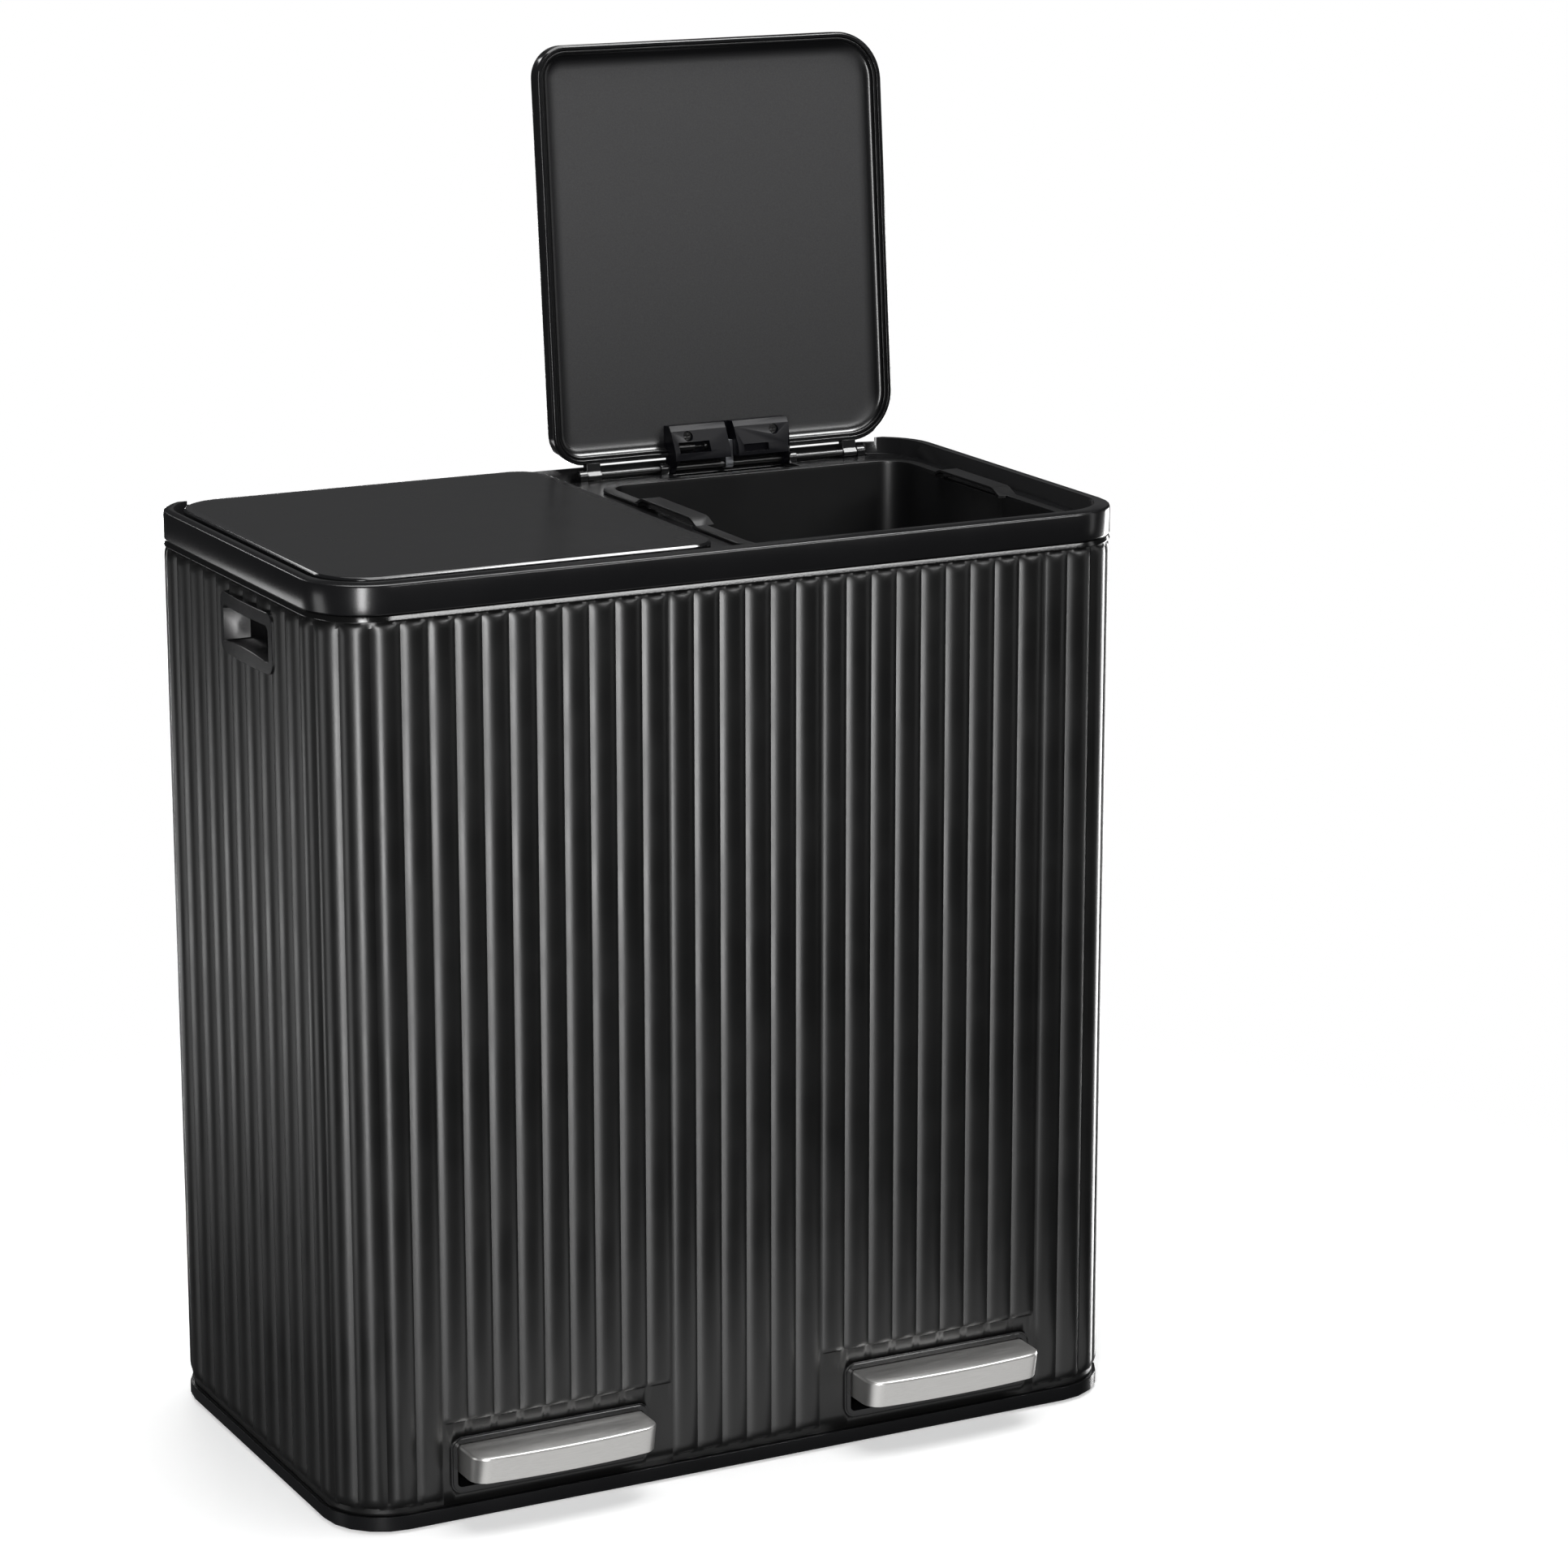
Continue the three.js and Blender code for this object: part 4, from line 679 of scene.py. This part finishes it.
# Ends of the two knuckles along X, the radius of their nose, and the corners of their root.
KNUCKLE_ENDS = (34.8 * MM, 45.8 * MM, 244.2 * MM, 255.2 * MM)
NOSE_RADIUS = 4 * MM
KNUCKLE_ROOT = np.array([[149, 646.3], [149, 639.7], [155, 639.6]]) * MM


def knuckle_points():
    """The lid's two hinge knuckles as bars along X, with a round nose about the pin:
    nose = pin + NOSE_RADIUS * (cos a, sin a). Returns points and faces."""
    turn = np.radians(np.linspace(-90, 112, 14))
    nose = PIVOT[1:] + NOSE_RADIUS * np.stack([np.cos(turn), np.sin(turn)], 1)
    side = np.concatenate([nose, KNUCKLE_ROOT])
    bars = [np.column_stack([np.full(len(side), x), side]) for x in KNUCKLE_ENDS]
    faces = prism_faces(len(side)) + prism_faces(len(side), 2 * len(side))
    return np.concatenate(bars), faces


def outward(obj):
    """Turns the faces of a closed piece outwards."""
    bm = bmesh.new()
    bm.from_mesh(obj.data)
    bmesh.ops.recalc_face_normals(bm, faces=bm.faces)
    bm.to_mesh(obj.data)
    bm.free()
    return obj


# One radius stands for the corners' two when depth below the outline is measured.
BORDER_RADIUS = 24 * MM
# Depths inside the outline: polished up to the first, not at all from the second. On the
# panel the same depths also set how far its border is painted darker as shade.
POLISHED_AND_SHADED_TO = {"lid_shell": (5 * MM, 8 * MM), "lid_liner": (10 * MM, 18 * MM)}


def border_depth(points, angle, sign):
    """How far points lie inside a lid's outline. With q the place in one quarter, measured
    from the centre of the corner's radius, depth = r - |max(q, 0)| - min(max(qx, qy), 0)."""
    place = swung(points * np.array([sign, 1, 1]), -angle)
    x0, x1, y0, y1 = LID_RECT
    r = BORDER_RADIUS
    qx = np.abs(place[:, 0] - (x0 + x1) / 2) - (x1 - x0) / 2 + r
    qy = np.abs(place[:, 1] - (y0 + y1) / 2) - (y1 - y0) / 2 + r
    outside = np.hypot(np.maximum(qx, 0), np.maximum(qy, 0))
    return r - outside - np.minimum(np.maximum(qx, qy), 0)


def make_lid(prefix, sign, angle):
    """Shell, inner panel and knuckles of one lid, on that lid's body. The left lid is the
    mirror image of the right one, with a sign of -1."""
    flip = np.array([sign, 1, 1])
    made = []
    for part, profile, finish, slot in (
        ("lid_shell", SHELL_PROFILE, LID_PP, "lid_plastic"),
        ("lid_liner", PANEL_PROFILE, PANEL_PP, "liner_plastic"),
    ):
        grid = lid_grid(profile)
        rows, cols = grid.shape[:2]
        faces = [tuple(f) for f in grid_faces(rows, cols, True).tolist()]
        faces += [tuple(range(cols)), tuple(range((rows - 1) * cols, rows * cols))]
        obj = make_mesh(prefix + part + "_skin", swung(grid, angle) * flip, faces, 30)
        full, none = POLISHED_AND_SHADED_TO[part]
        # On the panel this mask also paints the border darker as shade.
        write_polish_and_shade(obj, lambda p: (none - border_depth(p, angle, sign)) / (none - full))
        finish_piece(outward(obj), finish, prefix + "lid", [prefix + part])
        made.append(obj)
    bars, faces = knuckle_points()
    obj = make_mesh(prefix + "knuckles", swung(bars, angle) * flip, faces, 30)
    finish_piece(outward(obj), LID_PP, prefix + "lid")
    soft = obj.modifiers.new("soft_edges", "BEVEL")
    soft.width = 0.3 * MM
    soft.segments = 2
    return made + [obj]


for prefix, sign, angle in (("right_", 1, LID_OPEN), ("left_", -1, 0)):
    for obj in make_lid(prefix, sign, angle):
        print(obj.name, len(obj.data.polygons), "faces")


# %% [markdown]
# ## Softened copies
# Many parts are plain moulded or turned shapes that need nothing but their edges. No moulded
# edge is perfectly sharp: it catches a thin line of light, and that line is what tells the
# eye that an edge is there. So such a part is a copy of its node with the loose triangles
# joined, flat regions merged, and edges rounded. On the rim, the cups, the buckets and the
# pedals' frames, the edge is a flat chamfer in the smoother plastic instead, because a flat
# strip mirrors a light along its whole length.

# %% Softened copies of nodes
SLOT_OF = {p["node"]: p["material_slot"] for p in frame["record"]["subparts"]}
BODY_OF = {
    member: body
    for body, members in frame["record"]["behaviour"]["bodies"].items()
    for member in members
}
FINISH_OF = {
    "painted_steel": POWDER_COAT,
    "black_plastic": SATIN_PP,
    "lid_plastic": LID_PP,
    "liner_plastic": PANEL_PP,
    "bucket_plastic": BUCKET_PP,
    "block_plastic": HINGE_ABS,
    "rubber": FOOT_RUBBER,
    "brushed_steel": BRUSHED_STAINLESS,
    "zinc_steel": ZINC_PLATE,
}
# Steel pieces that are coated like the sleeve.
BLACKENED = {"hinge_pin", "block_screw_1", "block_screw_2"}
CHAMFERED = {"top_rim", "handle_cup", "bucket", "pedal_frame"}
# Width of an edge in millimetres, where it isn't PLAIN_EDGE_MM.
PLAIN_EDGE_MM = 0.35
EDGE_MM = {
    "block_screw_1": 0.2,
    "block_screw_2": 0.2,
    "damper": 0.2,
    "top_rim": 0.9,
    "base_tray": 0.9,
    "handle_cup": 0.7,
    "bucket": 0.8,
    "pedal_frame": 0.5,
    "pedal_cap": 0.8,
}


# Angles in degrees: below FLAT_ANGLE faces are joined, above BEND_ANGLE an edge is worked
# on, and above SHARP_ANGLE shading breaks at a chamfer's edges.
FLAT_ANGLE, BEND_ANGLE, SHARP_ANGLE = 0.5, 32, 30


def plain_name(node):
    """A node's name without its side."""
    return node.replace("left_", "").replace("right_", "")


def chamfer(bm, width):
    """Cuts a flat strip, in the second material, along every edge that bends."""
    bends = [
        e for e in bm.edges
        if len(e.link_faces) == 2 and e.calc_face_angle() > math.radians(BEND_ANGLE)
    ]
    bmesh.ops.bevel(
        bm, geom=bends, offset=width, segments=1, affect="EDGES", clamp_overlap=True,
        material=1,
    )


def softened(node):
    """A copy of a node with doubles merged, coplanar triangles dissolved, and the edges
    that bend by more than BEND_ANGLE rounded or, on CHAMFERED pieces, cut flat."""
    source = frame["nodes"][node]
    mesh = source.data.copy()
    mesh.name = node + "_soft"
    mesh.transform(source.matrix_world)
    obj = bpy.data.objects.new(node + "_soft", mesh)
    bpy.context.collection.objects.link(obj)
    name = plain_name(node)
    width = EDGE_MM.get(name, PLAIN_EDGE_MM) * MM
    chamfered = name in CHAMFERED
    bm = bmesh.new()
    bm.from_mesh(mesh)
    bmesh.ops.remove_doubles(bm, verts=bm.verts, dist=5e-6)
    bmesh.ops.dissolve_limit(
        bm, angle_limit=math.radians(FLAT_ANGLE), verts=bm.verts, edges=bm.edges
    )
    if chamfered:
        chamfer(bm, width)
    bm.to_mesh(mesh)
    bm.free()
    mesh.polygons.foreach_set("use_smooth", [True] * len(mesh.polygons))
    mesh.set_sharp_from_angle(angle=math.radians(SHARP_ANGLE if chamfered else BEND_ANGLE))
    if not chamfered:
        bevel = obj.modifiers.new("soft_edges", "BEVEL")
        bevel.width = width
        bevel.segments = 2
        bevel.limit_method = "ANGLE"
        bevel.angle_limit = math.radians(BEND_ANGLE)
        bevel.harden_normals = True
    slot = "painted_steel" if name in BLACKENED else SLOT_OF[node]
    finish_piece(obj, FINISH_OF[slot], BODY_OF[node], [node])
    if chamfered:
        obj.data.materials.append(EDGE_PP)


lid_parts = ("lid_shell", "lid_liner")
done = {"outer_body"} | {side + part for side in ("left_", "right_") for part in lid_parts}
for node in sorted(frame["nodes"]):
    if node not in done:
        softened(node)
print("softened:", len(frame["nodes"]) - len(done))

# %% [markdown]
# ## Camera
# The camera looks at the bin's left front corner from above its rim, through a long lens
# from about three and a half metres away, which keeps the flutes nearly parallel.

# %% Camera
CAMERA_AT = (-1.4215, -2.9621, 1.2862)
# Degrees that it looks down, and turns to the right of straight back.
LOOKS_DOWN, LOOKS_RIGHT = 14.27, 27.40
camera_data = bpy.data.cameras.new("camera")
camera_data.lens = 110.85
camera_data.sensor_width = 36
camera_data.clip_end = 50
camera = bpy.data.objects.new("camera", camera_data)
camera.location = CAMERA_AT
camera.rotation_euler = (math.radians(90 - LOOKS_DOWN), 0, math.radians(-LOOKS_RIGHT))
bpy.context.collection.objects.link(camera)
bpy.context.scene.camera = camera
bpy.context.scene.view_settings.view_transform = "Standard"
print("camera:", camera_data.lens, "mm at", CAMERA_AT)

# %% [markdown]
# ## Light
# Black plastic shows its shape by what it mirrors, so each light is placed for a line or a
# sheen. The tall key strip in front and to the left draws the highlight down the left flank
# of every flute on the front, and the low strip behind the left side does so for the side's
# flutes. A weaker strip on the right gives the right flanks an edge. Three boxes, centred
# just below the floor's level, brighten the right, the back and, weakly, the left, and a
# large one overhead lights the lid and the rim. The last four only show in reflections:
# they draw the bright lines on the chamfers of the top, the front and the back, and a faint
# glow on the shut lid.

# %% Lights
# Name, place, what it faces, width and height, watts.
LIGHTS = (
    ("key_strip", (-1.34, -2.2, 0.62), (0, -0.1, 0.4), (0.5, 2.2), 84),
    ("side_strip", (-1.35, 2.3, -0.3), (-0.3, 0, 0.25), (0.9, 0.4), 2.8),
    ("right_strip", (2.3, -1.2, 0.8), (0.2, 0, 0.4), (0.35, 1.8), 3),
    ("right_box", (2.6, 0.9, -0.15), (0.2, 0, 0.3), (0.9, 1.5), 60),
    ("back_box", (0.7, 2.8, -0.15), (0, 0.1, 0.3), (1.2, 1.5), 70),
    ("left_box", (-2.7, 0.5, -0.15), (-0.3, 0, 0.2), (0.9, 1.2), 9),
    ("top_box", (0.2, 0.1, 3.1), (0, 0, 0.5), (2.2, 1.8), 90),
)
GLOSS_TARGET = (0, 0, 0.6)
GLOSS_LIGHTS = (
    ("edge_light_top", (1.35, -0.7, 3.0), GLOSS_TARGET, (1.2, 0.9), 110),
    ("edge_light_front", (1.35, -2.35, 1.8), GLOSS_TARGET, (1.6, 0.3), 24),
    ("edge_light_back", (-0.8, 2.6, 2.0), GLOSS_TARGET, (0.9, 0.4), 7),
    ("glow_behind", (1.5, 2.6, 1.4), GLOSS_TARGET, (2.0, 1.0), 0.55),
)


def area_light(name, where, target, size, watts):
    """A rectangular light at where, turned to face target: its yaw is the angle of the
    direction in plan, its pitch the angle up from straight down."""
    data = bpy.data.lights.new(name, "AREA")
    data.shape = "RECTANGLE"
    data.size, data.size_y = size
    data.energy = watts
    lamp = bpy.data.objects.new(name, data)
    lamp.location = where
    toward = np.array(target, float) - np.array(where, float)
    yaw = math.atan2(-toward[0], toward[1])
    pitch = math.atan2(math.hypot(toward[0], toward[1]), -toward[2])
    lamp.rotation_euler = (pitch, 0, yaw)
    bpy.context.collection.objects.link(lamp)
    lamp.visible_camera = False
    return lamp


for row in LIGHTS:
    area_light(*row)
for row in GLOSS_LIGHTS:
    area_light(*row).visible_diffuse = False
print("lights:", len(LIGHTS) + len(GLOSS_LIGHTS))

# %% [markdown]
# ## Surround and ground
# The camera sees a white surround, while the bin itself only gets a little even light from
# it, so that its blacks stay black. The ground is white paper with a little glow of its
# own. It fades into the surround and keeps the soft shadow under the bin, but it is hidden
# from the bin, so that it neither lights it nor stands between it and the low lights.

# %% Surround
AMBIENT = 0.04
world = bpy.data.worlds.new("surround")
world.use_nodes = True
tree = world.node_tree
tree.nodes.clear()
bpy.context.scene.world = world
path = add_node(tree, "ShaderNodeLightPath")
seen = add_node(tree, "ShaderNodeBackground", Color=(1, 1, 1, 1), Strength=1.0)
lit = add_node(tree, "ShaderNodeBackground", Color=(0.95, 0.97, 1, 1), Strength=AMBIENT)
either = add_node(
    tree,
    "ShaderNodeMixShader",
    i0=path.outputs["Is Camera Ray"],
    i1=lit.outputs[0],
    i2=seen.outputs[0],
)
add_node(tree, "ShaderNodeOutputWorld", Surface=either.outputs[0])
print(world.name, "with an even light of", AMBIENT)

# %% Ground
# The paper is solid up to the first distance from the middle and gone from the second.
FADES_FROM, FADES_TO = 0.4, 0.95
GROUND_HALF = 3
ground_material, tree = new_material("white_ground")
spot = add_node(tree, "ShaderNodeTexCoord").outputs["Object"]
distance = add_node(tree, "ShaderNodeVectorMath", {"operation": "LENGTH"}, i0=spot)
fade_out = add_node(
    tree,
    "ShaderNodeMapRange",
    {"interpolation_type": "SMOOTHSTEP"},
    Value=distance.outputs["Value"],
    From_Min=FADES_FROM,
    From_Max=FADES_TO,
)
paper = add_node(
    tree, "ShaderNodeBsdfPrincipled", Base_Color=(0.9, 0.9, 0.9, 1), Roughness=0.7
)
lift = add_node(tree, "ShaderNodeEmission", Color=(1, 1, 1, 1), Strength=0.35)
lifted = add_node(tree, "ShaderNodeAddShader", i0=paper.outputs[0], i1=lift.outputs[0])
clear = add_node(tree, "ShaderNodeBsdfTransparent")
ground_mix = add_node(
    tree,
    "ShaderNodeMixShader",
    i0=fade_out.outputs[0],
    i1=lifted.outputs[0],
    i2=clear.outputs[0],
)
add_node(tree, "ShaderNodeOutputMaterial", Surface=ground_mix.outputs[0])
square = np.array([[-1, -1, 0], [1, -1, 0], [1, 1, 0], [-1, 1, 0]]) * GROUND_HALF
ground = make_mesh("ground", square, [(0, 1, 2, 3)])
ground.data.materials.append(ground_material)
ground.visible_diffuse = ground.visible_glossy = ground.visible_shadow = False
print("ground fades from", FADES_FROM, "to", FADES_TO, "m")

# %% [markdown]
# A small white card lies on the ground in front of each pedal. It is the photographer's
# trick for bare metal: the pedal's front face looks down at the ground, so without a card
# it would mirror a dark room. Only mirror-like rays see the cards.

# %% Cards for the pedals
# Along X a card runs from 100 mm left of the pedal's middle to 220 mm right of it.
CARD_X, CARD_Y, CARD_Z = (-100 * MM, 220 * MM), (-420 * MM, -200 * MM), 1 * MM
card_material, tree = new_material("white_card")
glow = add_node(tree, "ShaderNodeEmission", Color=(1, 1, 1, 1), Strength=0.9)
add_node(tree, "ShaderNodeOutputMaterial", Surface=glow.outputs[0])
for side, x in (("left", -PEDAL_X), ("right", PEDAL_X)):
    x0, x1 = x + CARD_X[0], x + CARD_X[1]
    y0, y1 = CARD_Y
    corners = np.array([[x0, y0, CARD_Z], [x1, y0, CARD_Z], [x1, y1, CARD_Z], [x0, y1, CARD_Z]])
    card = make_mesh(side + "_card", corners, [(0, 1, 2, 3)])
    card.data.materials.append(card_material)
    card.visible_camera = card.visible_diffuse = card.visible_shadow = False
    print(card.name, "along X from", round(x0, 3), "to", round(x1, 3), "m")
